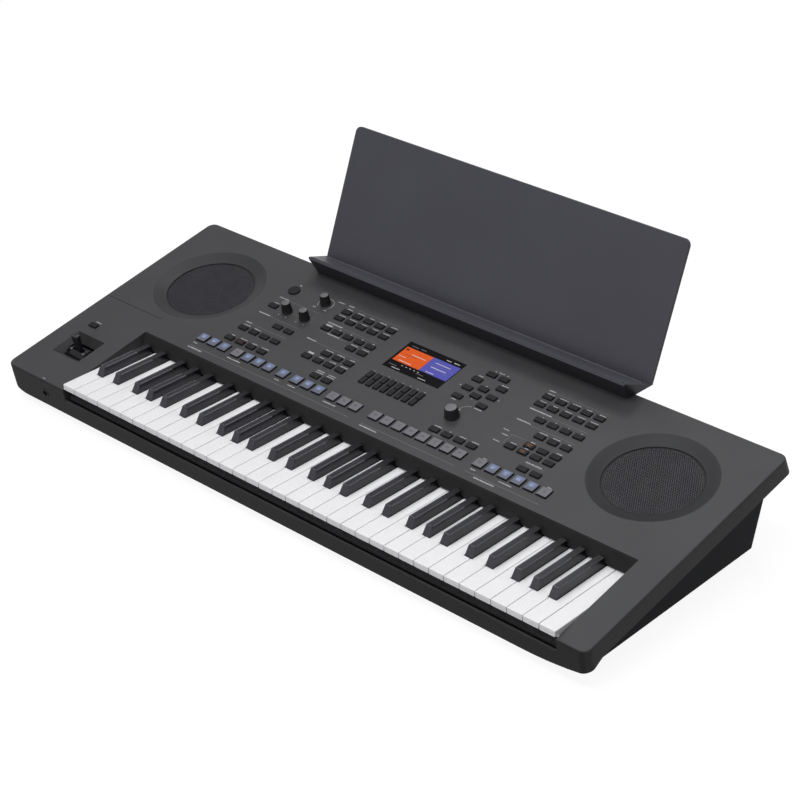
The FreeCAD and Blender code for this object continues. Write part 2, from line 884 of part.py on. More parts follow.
def keybed_frame():
    top = block(keybed_left, keybed_right, front_y + keybed_front_y, front_y + keybed_back_y,
                keybed_top - keybed_t, keybed_top)
    legs = [block(keybed_left, keybed_right, front_y + y, front_y + y + keybed_t, floor_z, keybed_top)
            for y in (keybed_leg_front_y, keybed_back_y - keybed_t)]
    bore = Part.makeCylinder(rod_r, case_width, V(-half_w, pivot_y, pivot_z), X_AXIS)
    brackets = [block(x - bracket_t / 2, x + bracket_t / 2, pivot_y - bracket_half, pivot_y + bracket_half,
                      keybed_top - keybed_t, pivot_z + bracket_half) for x in bracket_places()]
    return joined(top, legs + brackets).cut(bore)


def key_pivot_rod():
    return Part.makeCylinder(rod_r, keybed_right - keybed_left, V(keybed_left, pivot_y, pivot_z), X_AXIS)


def key_felts():
    front = front_y + keybed_front_y
    back = front_y + keybed_back_y - felt_width
    return group([block(keybed_left, keybed_right, front, front + felt_width, keybed_top, felt_top),
                  block(keybed_left, keybed_right, back, front_y + keybed_back_y, keybed_top,
                        keybed_top + back_felt_t)
                  .cut(keybed_frame())])


def key_contact_board():
    y = key_front_y + contact_y
    return block(keybed_left + contact_margin, keybed_right - contact_margin, y - contact_width / 2, y + contact_width / 2,
                 keybed_top, keybed_top + board_t)


def key_contact_strip():
    y = key_front_y + contact_y
    base = keybed_top + board_t
    tip = key_top_z - key_body - pressed_drop(contact_y - dome_r) - dome_gap
    half = contact_width / 2 - strip_margin
    sheet = block(keybed_left + strip_margin, keybed_right - strip_margin, y - half, y + half, base, base + strip_t)
    domes = [Part.makeCone(dome_r + dome_flare, dome_r, tip - base, V(x, y, base)) for x in hub_centres()]
    return joined(sheet, domes)


def key_springs():
    root = key_front_y + spring_root_y
    tip = key_front_y + spring_tip_y
    high = key_top_z - key_body - pressed_drop(spring_tip_y) - spring_gap
    strip = block(keybed_left + contact_margin, keybed_right - contact_margin, root - spring_lap,
                  root + spring_base, keybed_top, keybed_top + spring_t)
    leaves = [prism([V(x - spring_width / 2, root, keybed_top), V(x - spring_width / 2, tip, high - spring_t),
                     V(x - spring_width / 2, tip, high), V(x - spring_width / 2, root, keybed_top + spring_t)],
                    V(spring_width, 0, 0)) for x in hub_centres()]
    return joined(strip, leaves)


def knob(at, r_base, r_top, height):
    """Tapered knob with a short straight skirt, on a stem that turns in its pot."""
    x, s = at
    body = turned(((0, knob_gap), (r_base, knob_gap), (r_base, knob_gap + knob_skirt),
                   (r_top, knob_gap + height), (0, knob_gap + height)), x, s)
    stem = Part.makeCylinder(stem_r, panel_board_drop + knob_gap, V(x, s, -panel_board_drop))
    return on_panel(body.fuse(stem).removeSplitter())


def control_pots():
    pots = []
    for x, s in list(KNOBS.values()) + [dial_at]:
        can = centred(x, s, pot_size, pot_size, -panel_board_drop, -wall)
        bore = Part.makeCylinder(stem_r + stem_clear, panel_board_drop, V(x, s, -panel_board_drop))
        pots.append(on_panel(can.cut(bore)))
    return group(pots)


def power_button():
    x, s = power_at
    return on_panel(turned(((0, -web_drop - web_t), (power_r + web_margin, -web_drop - web_t),
                            (power_r + web_margin, -web_drop), (power_r, -web_drop), (power_r, cap_rise),
                            (0, cap_rise)), x, s))


def hold_button():
    return button_bank([hold_at], button_w, button_d)


def panel_boards():
    low = row_pad - pad_size / 2
    high = row_8 + button_d
    left_seam = (style_buttons[4][0] + col_screen) / 2
    right_seam = (nav_buttons[-1][0] + col_voice) / 2
    left, right = board_ends()
    spans = ((left, left_seam - board_seam), (left_seam + board_seam, right_seam - board_seam),
             (right_seam + board_seam, right))
    cuts = [Part.makeCylinder(stem_r + stem_hole_gap, 4 * wall, V(x, s, -panel_board_drop - 2 * wall))
            for x, s in list(KNOBS.values()) + [dial_at]]
    return group([on_panel(block(a, b, low, high, -panel_board_drop - board_t, -panel_board_drop)
                           .cut(group(cuts))) for a, b in spans])


def display_window():
    x, s = screen_at
    return on_panel(centred(x, s, screen_w, screen_d, -screen_sink - screen_t, -screen_sink))


def display_module():
    x, s = screen_at
    return on_panel(centred(x, s, screen_w - 2 * module_edge, screen_d - 2 * module_edge,
                            -panel_board_drop, -screen_sink - screen_t))


def speaker_pair(profile):
    return group([on_panel(turned(profile, x, speaker_s)) for x in (-speaker_x, speaker_x)])


speaker_seat = -dish_depth - mesh_t - dish_wall
basket_back = speaker_seat - basket_depth


def speaker_grilles():
    return speaker_pair(((0, -dish_depth - mesh_t), (mesh_r, -dish_depth - mesh_t), (mesh_r, -dish_depth),
                         (0, -dish_depth)))


def speaker_frames():
    inner = mesh_r - mesh_seat
    return speaker_pair(((inner, speaker_seat), (basket_r, speaker_seat),
                         (basket_r, speaker_seat - basket_t), (inner + basket_t, speaker_seat - basket_t),
                         (basket_back_r, basket_back), (coil_r, basket_back),
                         (coil_r, basket_back + basket_t), (basket_back_r - basket_t, basket_back + basket_t)))


def speaker_cones():
    rim = speaker_seat - cone_sink
    throat = rim - cone_depth
    rim_r = mesh_r - mesh_seat - cone_edge_gap
    cone_r = rim_r - cone_roll
    return speaker_pair(((0, throat), (cone_back_r, throat), (cone_r, rim - cone_t), (rim_r, rim - cone_t),
                         (rim_r, rim), (cone_r, rim), (cone_back_r, throat + cone_t), (0, throat + 2 * cone_t)))


def speaker_magnets():
    return speaker_pair(((0, basket_back - magnet_h), (magnet_r, basket_back - magnet_h), (magnet_r, basket_back),
                         (0, basket_back)))


def joystick_housing():
    x, s = joy_at
    seat = -joy_depth - joy_wall
    inner = drum_length / 2 + drum_gap
    cheeks = [centred(x + side * (inner + housing_t / 2), s, housing_t, 2 * housing_half_s,
                      -drum_drop - housing_floor / 2, seat) for side in (-1, 1)]
    base = centred(x, s, 2 * (inner + housing_t), 2 * housing_half_s,
                   -drum_drop - housing_floor / 2 - housing_t, -drum_drop - housing_floor / 2)
    bore = Part.makeCylinder(drum_axle_r + axle_clear, 3 * drum_length, V(x - 1.5 * drum_length, s, -drum_drop), X_AXIS)
    return on_panel(joined(base, cheeks).cut(bore))


def joystick_gimbal():
    x, s = joy_at
    drum = Part.makeCylinder(drum_r, drum_length, V(x - drum_length / 2, s, -drum_drop), X_AXIS)
    reach = drum_length + 2 * drum_axle_length
    axle = Part.makeCylinder(drum_axle_r, reach, V(x - reach / 2, s, -drum_drop), X_AXIS)
    pocket = block(x - slot_half_x, x + slot_half_x, s - stick_t / 2 - stick_clear, s + stick_t / 2 + stick_clear,
                   -drum_drop - stick_hub_r - drum_gap, 0)
    pin = Part.makeCylinder(pin_r, drum_r, V(x, s - drum_r / 2, -drum_drop), Y_AXIS)
    return on_panel(drum.fuse(axle).cut(pocket).fuse(pin).removeSplitter())


def joystick_stick():
    x, s = joy_at
    hub = Part.makeCylinder(stick_hub_r, stick_t, V(x, s - stick_t / 2, -drum_drop), Y_AXIS)
    outline = [(-stick_root, -drum_drop), (-stick_waist, -drum_drop / 2), (-stick_waist, stick_top / 3),
               (-stick_top_half, stick_top), (0, stick_top - stick_saddle), (stick_top_half, stick_top),
               (stick_waist, stick_top / 3), (stick_waist, -drum_drop / 2), (stick_root, -drum_drop)]
    blade = prism([V(x + i, s - stick_t / 2, h) for i, h in outline], V(0, stick_t, 0))
    bore = Part.makeCylinder(pin_r + axle_clear, 2 * stick_t, V(x, s - stick_t, -drum_drop), Y_AXIS)
    return on_panel(hub.fuse(blade).removeSplitter().cut(bore))


def music_rest():
    """Plate, ledge and the hollow wedge under the ledge, with two tongues for the panel's slots."""
    corner = V(0, front_y + rest_corner_y, rest_corner_z)
    up = V(0, math.sin(lean), math.cos(lean))
    fore = V(0, -math.cos(lean), math.sin(lean))
    shift = V(-rest_width / 2, 0, 0)
    plate = prism([corner + shift, corner + up * rest_height + shift,
                   corner + up * rest_height - fore * rest_t + shift, corner - fore * rest_t + shift],
                  V(rest_width, 0, 0))
    top_edges = [e for e in plate.Edges if abs(e.tangentAt(e.FirstParameter).dot(fore)) > 0.9
                 and e.CenterOfMass.z > rest_corner_z + rest_height / 2]
    plate = plate.makeFillet(rest_corner_r, top_edges)
    seat = rest_seat_gap
    front = panel_point(0, panel_length - rest_foot_front, seat)
    back = panel_point(0, panel_length - rest_foot_back, seat)
    tip = corner + fore * ledge_depth
    outline = [corner, tip, tip - up * ledge_wall, front, back, corner - fore * rest_t]

    def half_width(p):
        ahead = outline[-1] - p
        return rest_width / 2 - ledge_end_fore * ahead.y - ledge_end_down * ahead.z

    wedge = taper(*[polygon([p + V(sign * half_width(p), 0, 0) for p in outline]) for sign in (-1, 1)])
    lip_half = half_width(tip) - ledge_lip_inset
    pocket_half = half_width(front) - ledge_wall
    lip = prism([p - V(lip_half, 0, 0) for p in
                 (tip, tip + up * ledge_lip_h, tip + up * ledge_lip_h - fore * ledge_lip_t,
                  tip - fore * ledge_lip_t)], V(2 * lip_half, 0, 0))
    hollow_top = corner - up * ledge_wall
    pocket = prism([p - V(pocket_half, 0, 0) for p in
                    (hollow_top - fore * 2 * rest_t, hollow_top + fore * (ledge_depth - 3 * ledge_wall),
                     front + V(0, 0, 2 * ledge_wall), back + V(0, 0, 2 * ledge_wall))],
                   V(2 * pocket_half, 0, 0))
    tongues = [on_panel(centred(x, panel_length - tab_from_back, tab_width, tab_t, -tab_depth,
                                seat + ledge_wall)) for x in (-tab_x, tab_x)]
    return plate.multiFuse([wedge.cut(pocket), lip] + tongues).removeSplitter()


def main_board_corners():
    y1 = front_y + tray_back_bottom_y - main_board_back
    reach = main_board_w / 2 - standoff_inset
    return [(x, y) for x in (-reach, reach)
            for y in (y1 - main_board_d + standoff_inset, y1 - standoff_inset)]


def main_board():
    y1 = front_y + tray_back_bottom_y - main_board_back
    base = floor_z + standoff_h
    board = block(-main_board_w / 2, main_board_w / 2, y1 - main_board_d, y1, base, base + board_t)
    chips = [centred(i * main_board_w / 4, y1 - main_board_d / 2, chip_size, chip_size, base + board_t,
                     base + board_t + chip_h) for i in (-1, 0, 1)]
    return joined(board, chips)


def phones_jack():
    at = V(phones_at_x, wall, -phones_drop)
    body = Part.makeCylinder(jack_body_r, jack_length, at, Y_AXIS)
    return on_panel(body.cut(Part.makeCylinder(jack_bore_r, jack_bore_length, at, Y_AXIS)))


def jack_places():
    first = jack_plate_x - jack_plate_width / 2 + jack_plate_lap + 2 * jack_body_r
    return [first + i * jack_pitch for i in range(jack_count)]


def port_places():
    usb = jack_places()[-1] + usb_from_jack
    return usb, usb + dc_from_usb


def rear_jack_plate():
    plate = centred(jack_plate_x, jack_plate_up, jack_plate_width, jack_plate_height, wall, wall + jack_plate_t)
    holes = [Part.makeCylinder(jack_mouth_r, 3 * wall, V(x, jack_plate_up, 0)) for x in jack_places()]
    usb_x, dc_x = port_places()
    holes.append(centred(usb_x, jack_plate_up, usb_w + 2 * port_lip, usb_h + 2 * port_lip, 0, 3 * wall))
    holes.append(Part.makeCylinder(dc_r + port_lip, 3 * wall, V(dc_x, jack_plate_up, 0)))
    return on_back(plate.cut(group(holes)))


def rear_sockets():
    face = wall + jack_plate_t
    jacks = jack_places()
    body = block(jacks[0] - jack_body_r, jacks[-1] + jack_body_r, jack_plate_up - jack_body_r,
                 jack_plate_up + jack_body_r, face, face + jack_length)
    bores = [Part.makeCylinder(jack_bore_r, jack_bore_length, V(x, jack_plate_up, face)) for x in jacks]
    sockets = [on_back(body.cut(group(bores)))]
    usb_x, dc_x = port_places()
    shell = centred(usb_x, jack_plate_up, usb_w + 2 * port_wall, usb_h + 2 * port_wall, face, face + port_depth)
    mouth = centred(usb_x, jack_plate_up, usb_w, usb_h, face, face + port_depth - port_end)
    sockets.append(on_back(shell.cut(mouth)))
    barrel = Part.makeCylinder(dc_r + dc_wall, port_depth, V(dc_x, jack_plate_up, face))
    socket = Part.makeCylinder(dc_r, port_depth - port_end, V(dc_x, jack_plate_up, face))
    pin = Part.makeCylinder(dc_pin_r, port_depth - dc_pin_sink, V(dc_x, jack_plate_up, face + dc_pin_sink))
    sockets.append(on_back(barrel.cut(socket).fuse(pin)))
    return group(sockets)


def all_nodes():
    nodes = {
        "upper_case": upper_case(),
        "lower_case": lower_case(),
        "case_screws": case_screws(),
        "rubber_feet": rubber_feet(),
        "speaker_grilles": speaker_grilles(),
        "speaker_frames": speaker_frames(),
        "speaker_cones": speaker_cones(),
        "speaker_magnets": speaker_magnets(),
        "display_window": display_window(),
        "display_module": display_module(),
        "panel_boards": panel_boards(),
        "main_board": main_board(),
        "keybed_frame": keybed_frame(),
        "key_pivot_rod": key_pivot_rod(),
        "key_felts": key_felts(),
        "key_contact_board": key_contact_board(),
        "key_contact_strip": key_contact_strip(),
        "key_springs": key_springs(),
        "control_pots": control_pots(),
        "joystick_housing": joystick_housing(),
        "joystick_gimbal": joystick_gimbal(),
        "joystick_stick": joystick_stick(),
        "phones_jack": phones_jack(),
        "rear_jack_plate": rear_jack_plate(),
        "rear_sockets": rear_sockets(),
        "power_button": power_button(),
        "hold_button": hold_button(),
        "data_dial": knob(dial_at, dial_r_base, dial_r_top, dial_height),
        "music_rest": music_rest(),
    }
    for name, at in KNOBS.items():
        nodes[name] = knob(at, knob_r_base, knob_r_top, knob_height)
    for name, bank in BANKS.items():
        nodes[name] = button_bank(*bank)
    nodes.update(key_nodes())
    return nodes


def main():
    os.makedirs("parts", exist_ok=True)
    for name, shape in all_nodes().items():
        shape.exportStep("parts/%s.step" % name)


main()
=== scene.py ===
import json
import math
import random

import bmesh
import bpy
from mathutils import Matrix, Vector

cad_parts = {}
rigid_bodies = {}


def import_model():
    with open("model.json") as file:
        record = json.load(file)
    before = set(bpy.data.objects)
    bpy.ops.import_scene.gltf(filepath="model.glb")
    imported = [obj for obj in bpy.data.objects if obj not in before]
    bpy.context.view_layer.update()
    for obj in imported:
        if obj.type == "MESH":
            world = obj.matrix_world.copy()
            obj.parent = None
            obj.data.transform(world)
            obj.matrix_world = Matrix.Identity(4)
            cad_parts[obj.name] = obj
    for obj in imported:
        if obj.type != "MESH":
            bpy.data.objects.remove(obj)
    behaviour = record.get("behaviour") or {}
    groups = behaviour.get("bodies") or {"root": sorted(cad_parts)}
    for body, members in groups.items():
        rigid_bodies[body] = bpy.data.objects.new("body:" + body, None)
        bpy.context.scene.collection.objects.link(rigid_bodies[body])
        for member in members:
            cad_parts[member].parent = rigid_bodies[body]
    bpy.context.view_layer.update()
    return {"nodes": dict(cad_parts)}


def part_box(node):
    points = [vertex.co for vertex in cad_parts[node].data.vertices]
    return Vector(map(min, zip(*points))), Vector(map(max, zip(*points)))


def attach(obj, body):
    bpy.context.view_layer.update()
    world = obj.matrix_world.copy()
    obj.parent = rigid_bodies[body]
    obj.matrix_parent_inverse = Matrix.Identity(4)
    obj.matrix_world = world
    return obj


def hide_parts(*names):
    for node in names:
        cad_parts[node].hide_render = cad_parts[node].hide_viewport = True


for spare in list(bpy.data.objects):
    bpy.data.objects.remove(spare)
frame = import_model()
nodes = frame["nodes"]
MM = 0.001

# The panel's own frame: x across, s up the slope from its front edge, h out of it, in mm
FRONT_Y = -242.154
PANEL_FRONT_Z = 54.4
TILT = math.radians(11.1)
PANEL = Matrix.Translation((0, FRONT_Y, PANEL_FRONT_Z)) @ Matrix.Rotation(TILT, 4, "X")
SEED = 7
rng = random.Random(SEED)


# Materials

NOISE_SPAN = (0.3, 0.7)    # part of a noise's range over which a finish changes
FINE_DETAIL = 3.0
BUMP_STRENGTH = 0.6
SIDE_Z, TOP_Z = 0.8, 0.97  # rise of the normal on a sloping face and on an upward one
LIT_GRAIN, LIT_TONE, LIT_DIM = 400, 0.1, 0.88
LIT_ROUGH, LIT_SPECULAR = 0.4, 0.06
MILKY_GRAIN, MILKY_TONE = 900, 0.07
MILKY_ROUGH, MILKY_SPECULAR = 0.42, 0.15


def link(tree, a, b):
    tree.links.new(a, b)


def shader(name):
    mat = bpy.data.materials.new(name)
    mat.use_nodes = True
    tree = mat.node_tree
    return mat, tree, tree.nodes["Principled BSDF"]


def noise(tree, scale, detail=2.0, stretch=(1, 1, 1)):
    coord = tree.nodes.new("ShaderNodeTexCoord")
    place = tree.nodes.new("ShaderNodeMapping")
    place.inputs["Scale"].default_value = stretch
    tex = tree.nodes.new("ShaderNodeTexNoise")
    tex.inputs["Scale"].default_value = scale
    tex.inputs["Detail"].default_value = detail
    link(tree, coord.outputs["Object"], place.inputs["Vector"])
    link(tree, place.outputs["Vector"], tex.inputs["Vector"])
    return tex.outputs["Fac"]


def ramp(tree, fac, low, high):
    node = tree.nodes.new("ShaderNodeValToRGB")
    for element, place, colour in zip(node.color_ramp.elements, NOISE_SPAN, (low, high)):
        element.position = place
        element.color = (*colour, 1)
    link(tree, fac, node.inputs["Fac"])
    return node.outputs["Color"]


def between(tree, value, start, stop, low, high, kind="SMOOTHSTEP"):
    """Runs from low to high while the value runs from start to stop."""
    node = tree.nodes.new("ShaderNodeMapRange")
    node.interpolation_type = kind
    ends = {"From Min": start, "From Max": stop, "To Min": low, "To Max": high}
    for key, number in ends.items():
        node.inputs[key].default_value = number
    link(tree, value, node.inputs["Value"])
    return node.outputs["Result"]


def shades(colour, tone):
    """The same colour, a little darker and a little lighter."""
    return [c * (1 - tone) for c in colour], [c * (1 + tone) for c in colour]


def surface(name, colour, rough, grain_mm=0.5, relief_mm=0.02, tone=0.06, patch_mm=60,
            stretch=(1, 1, 1), metal=0.0, specular=0.5, rough_spread=0.05):
    """A moulded or metal finish: slow tone changes, fine grain in roughness and relief."""
    mat, tree, bsdf = shader(name)
    fine = noise(tree, 1 / (grain_mm * MM), FINE_DETAIL, stretch)
    slow = noise(tree, 1 / (patch_mm * MM))
    link(tree, ramp(tree, slow, *shades(colour, tone)), bsdf.inputs["Base Color"])
    gloss = between(tree, fine, *NOISE_SPAN, rough - rough_spread, rough + rough_spread, "LINEAR")
    link(tree, gloss, bsdf.inputs["Roughness"])
    bump = tree.nodes.new("ShaderNodeBump")
    bump.inputs["Strength"].default_value = BUMP_STRENGTH
    bump.inputs["Distance"].default_value = relief_mm * MM
    link(tree, fine, bump.inputs["Height"])
    link(tree, bump.outputs["Normal"], bsdf.inputs["Normal"])
    bsdf.inputs["Metallic"].default_value = metal
    bsdf.inputs["Specular IOR Level"].default_value = specular
    return mat


def surface_axis(tree, output, axis):
    """One axis of the surface's normal or place."""
    shape = tree.nodes.new("ShaderNodeNewGeometry")
    split = tree.nodes.new("ShaderNodeSeparateXYZ")
    link(tree, shape.outputs[output], split.inputs[0])
    return split.outputs[axis]


def sheen_on_top(mat, side, top):
    """Gives a finish more sheen on its upward faces than on its sides."""
    tree = mat.node_tree
    sheen = between(tree, surface_axis(tree, "Normal", "Z"), SIDE_Z, TOP_Z, side, top)
    link(tree, sheen, tree.nodes["Principled BSDF"].inputs["Specular IOR Level"])


def painted_shade_along(mat, output, axis, start, stop, factors):
    """Paints light and shade into a finish's colour: multiplies it by two factors and what lies
    between, along an axis.
    """
    tree = mat.node_tree
    factor = between(tree, surface_axis(tree, output, axis), start, stop, *factors)
    socket = tree.nodes["Principled BSDF"].inputs["Base Color"]
    source = socket.links[0].from_socket
    times = tree.nodes.new("ShaderNodeVectorMath")
    times.operation = "SCALE"
    link(tree, source, times.inputs[0])
    link(tree, factor, times.inputs["Scale"])
    link(tree, times.outputs[0], socket)


def lit(name, colour, glow, strength):
    """A finish that also gives off a little light, with slight unevenness."""
    mat, tree, bsdf = shader(name)
    fine = noise(tree, LIT_GRAIN)
    link(tree, ramp(tree, fine, *shades(colour, LIT_TONE)), bsdf.inputs["Base Color"])
    dim = [c * LIT_DIM for c in glow]
    link(tree, ramp(tree, fine, dim, glow), bsdf.inputs["Emission Color"])
    bsdf.inputs["Emission Strength"].default_value = strength
    bsdf.inputs["Roughness"].default_value = LIT_ROUGH
    bsdf.inputs["Specular IOR Level"].default_value = LIT_SPECULAR
    return mat


def painted_glow(name, colour):
    """Milky plastic lit from beneath, with the light held in the mesh's colour attribute."""
    mat, tree, bsdf = shader(name)
    fine = noise(tree, MILKY_GRAIN)
    link(tree, ramp(tree, fine, *shades(colour, MILKY_TONE)), bsdf.inputs["Base Color"])
    glow = tree.nodes.new("ShaderNodeVertexColor")
    glow.layer_name = "glow"
    link(tree, glow.outputs["Color"], bsdf.inputs["Emission Color"])
    bsdf.inputs["Emission Strength"].default_value = 1.0
    bsdf.inputs["Roughness"].default_value = MILKY_ROUGH
    bsdf.inputs["Specular IOR Level"].default_value = MILKY_SPECULAR
    return mat


charcoal = surface("charcoal", (0.050, 0.0502, 0.0522), rough=0.5, grain_mm=0.45, relief_mm=0.03,
                   tone=0.05)
# Painted shade: faces turned to the front are darkened to less than half, as if less light reached
# them.
painted_shade_along(charcoal, "Normal", "Y", -0.95, -0.6, (0.42, 1.0))
sheen_on_top(charcoal, 0.06, 0.22)
dish_charcoal = surface("dish_charcoal", (0.0385, 0.0387, 0.0414), rough=0.42, grain_mm=0.45,
                        relief_mm=0.02, tone=0.05, specular=0.12)
# Painted light and shade: the bowl's far wall is lightened and its near and right walls darkened,
# as if lit from the front and right.
painted_shade_along(dish_charcoal, "Normal", "Y", -0.5, 0.15, (1.14, 0.9))
painted_shade_along(dish_charcoal, "Normal", "X", -0.36, 0.36, (0.88, 1.06))
black_case = surface("black_case", (0.0085, 0.009, 0.0112), rough=0.48, grain_mm=0.5,
                     relief_mm=0.03, tone=0.08, specular=0.03)
rest_grey = surface("rest_grey", (0.064, 0.064, 0.078), rough=0.46, grain_mm=0.4, relief_mm=0.02,
                    tone=0.05, patch_mm=120)
sheen_on_top(rest_grey, 0.2, 0.6)
# Painted shade: faces turned sideways or down are darkened, down to half.
painted_shade_along(rest_grey, "Normal", "Z", 0.0, 0.2, (0.5, 1.0))
white_key = surface("white_key", (0.80, 0.795, 0.81), rough=0.3, grain_mm=1.5, relief_mm=0.004,
                    tone=0.012, patch_mm=40)
milky = white_key.node_tree.nodes["Principled BSDF"]
milky.inputs["Subsurface Weight"].default_value = 0.3
milky.inputs["Subsurface Radius"].default_value = (1.0, 0.97, 0.95)
milky.inputs["Subsurface Scale"].default_value = 0.006
black_key = surface("black_key", (0.024, 0.024, 0.031), rough=0.22, grain_mm=0.25,
                    relief_mm=0.001, tone=0.06, patch_mm=20, stretch=(3, 0.25, 3), specular=0.42,
                    rough_spread=0.02)
# Painted shadow: the rear ends of the keys darken towards the wall behind them.
painted_shade_along(black_key, "Position", "Y", -0.142, -0.104, (1.0, 0.15))
black_edge = surface("black_edge", (0.024, 0.024, 0.031), rough=0.34, grain_mm=0.25,
                     relief_mm=0.002, tone=0.06, patch_mm=20, specular=0.75)
button_black = surface("button_black", (0.0165, 0.0165, 0.018), rough=0.5, grain_mm=0.3,
                       relief_mm=0.01, tone=0.1, patch_mm=12, specular=0.1)
pad_side = surface("pad_side", (0.016, 0.016, 0.021), rough=0.45, grain_mm=0.3, relief_mm=0.008,
                   tone=0.1, patch_mm=12, specular=0.15)
knob_black = surface("knob_black", (0.016, 0.016, 0.0175), rough=0.45, grain_mm=0.3,
                     relief_mm=0.01, tone=0.1, patch_mm=8, specular=0.2)
knob_cap = surface("knob_cap", (0.105, 0.106, 0.11), rough=0.42, grain_mm=0.3, relief_mm=0.008,
                   tone=0.08, patch_mm=6)
stick_black = surface("stick_black", (0.012, 0.012, 0.0145), rough=0.36, grain_mm=0.3,
                      relief_mm=0.008, tone=0.1, patch_mm=10, specular=0.4)
boss_grey = surface("boss_grey", (0.13, 0.13, 0.135), rough=0.4, grain_mm=0.3, relief_mm=0.008,
                    tone=0.08, patch_mm=6, specular=0.4)
mesh_black = surface("mesh_black", (0.049, 0.049, 0.056), rough=0.45, grain_mm=0.3,
                     relief_mm=0.006, tone=0.08, patch_mm=20, specular=0.12)
# Painted shade: the speaker's edge ring is darker than the sheet, as in the shadow under the bowl's
# lip.
mesh_rim_shade = surface("mesh_rim_shade", (0.022, 0.022, 0.025), rough=0.5, grain_mm=0.3, relief_mm=0.006,
                   tone=0.08, patch_mm=20, specular=0.1)
cone_black = surface("cone_black", (0.006, 0.006, 0.006), rough=0.7, grain_mm=0.8,
                     relief_mm=0.03, tone=0.15, patch_mm=10, specular=0.2)
socket_black = surface("socket_black", (0.010, 0.010, 0.011), rough=0.42, grain_mm=0.4,
                       relief_mm=0.01, tone=0.1, patch_mm=10, specular=0.3)
rubber = surface("rubber", (0.012, 0.012, 0.012), rough=0.75, grain_mm=0.6, relief_mm=0.03,
                 tone=0.15, patch_mm=8, specular=0.2)
steel = surface("steel", (0.58, 0.58, 0.59), rough=0.3, grain_mm=0.4, relief_mm=0.004, tone=0.06,
                patch_mm=10, stretch=(8, 0.4, 8), metal=1.0)
nickel = surface("nickel", (0.72, 0.71, 0.69), rough=0.22, grain_mm=0.4, relief_mm=0.003,
                 tone=0.04, patch_mm=6, metal=1.0)
board_green = surface("board_green", (0.02, 0.11, 0.05), rough=0.4, grain_mm=1.2, relief_mm=0.02,
                      tone=0.2, patch_mm=8)
felt_dark = surface("felt_dark", (0.10, 0.095, 0.10), rough=0.95, grain_mm=0.25, relief_mm=0.08,
                    tone=0.2, patch_mm=3, specular=0.1)
# Painted shade: the felt's front faces are darker than its top, in the gap under the keys.
painted_shade_along(felt_dark, "Normal", "Y", -0.9, -0.3, (0.4, 1.0))
# Painted shade: near-black finish for the sheet laid on the wall behind the keys.
painted_well_shade = surface("painted_well_shade", (0.021, 0.021, 0.022), rough=0.6, grain_mm=0.3,
                     relief_mm=0.02, tone=0.1, patch_mm=30, specular=0.05)
module_grey = surface("module_grey", (0.2, 0.2, 0.22), rough=0.5, grain_mm=0.6, relief_mm=0.01,
                      tone=0.06, patch_mm=15)
magnet_grey = surface("magnet_grey", (0.12, 0.12, 0.12), rough=0.5, grain_mm=0.5, relief_mm=0.02,
                      tone=0.1, patch_mm=12)
basket_black = surface("basket_black", (0.02, 0.02, 0.02), rough=0.45, grain_mm=0.5,
                       relief_mm=0.02, tone=0.1, patch_mm=15, specular=0.3)
glass_black = surface("glass_black", (0.004, 0.004, 0.005), rough=0.3, grain_mm=3.0,
                      relief_mm=0.001, tone=0.1, patch_mm=20, specular=0.025, rough_spread=0.02)
print_white = surface("print_white", (0.40, 0.40, 0.41), rough=0.55, grain_mm=0.2,
                      relief_mm=0.004, tone=0.06, patch_mm=5, specular=0.3)
print_grey = surface("print_grey", (0.16, 0.16, 0.165), rough=0.55, grain_mm=0.2,
                     relief_mm=0.004, tone=0.06, patch_mm=5, specular=0.3)
pad_top = painted_glow("pad_top", (0.15, 0.148, 0.165))
pad_top_lit = painted_glow("pad_top_lit", (0.115, 0.117, 0.135))
screen_orange = lit("screen_orange", (0.03, 0.006, 0.002), glow=(0.72, 0.10, 0.012),
                    strength=0.95)
screen_blue = lit("screen_blue", (0.008, 0.008, 0.03), glow=(0.085, 0.085, 0.41), strength=0.95)
screen_white = lit("screen_white", (0.1, 0.1, 0.1), glow=(0.55, 0.53, 0.53), strength=0.9)
screen_dim = lit("screen_dim", (0.03, 0.03, 0.03), glow=(0.14, 0.14, 0.15), strength=0.9)
screen_shade = lit("screen_shade", (0.02, 0.005, 0.002), glow=(0.12, 0.02, 0.004), strength=0.9)
mark_lit = lit("mark_lit", (0.16, 0.17, 0.2), glow=(0.16, 0.2, 0.36), strength=0.9)
mark_dull = surface("mark_dull", (0.085, 0.084, 0.092), rough=0.5, grain_mm=0.2, relief_mm=0.004,
                    tone=0.06, patch_mm=5, specular=0.3)
light_green = lit("light_green", (0.02, 0.03, 0.02), glow=(0.02, 0.04, 0.02), strength=0.6)
light_red = lit("light_red", (0.03, 0.02, 0.02), glow=(0.09, 0.022, 0.018), strength=0.7)
light_orange = lit("light_orange", (0.04, 0.025, 0.02), glow=(0.26, 0.09, 0.04), strength=0.8)

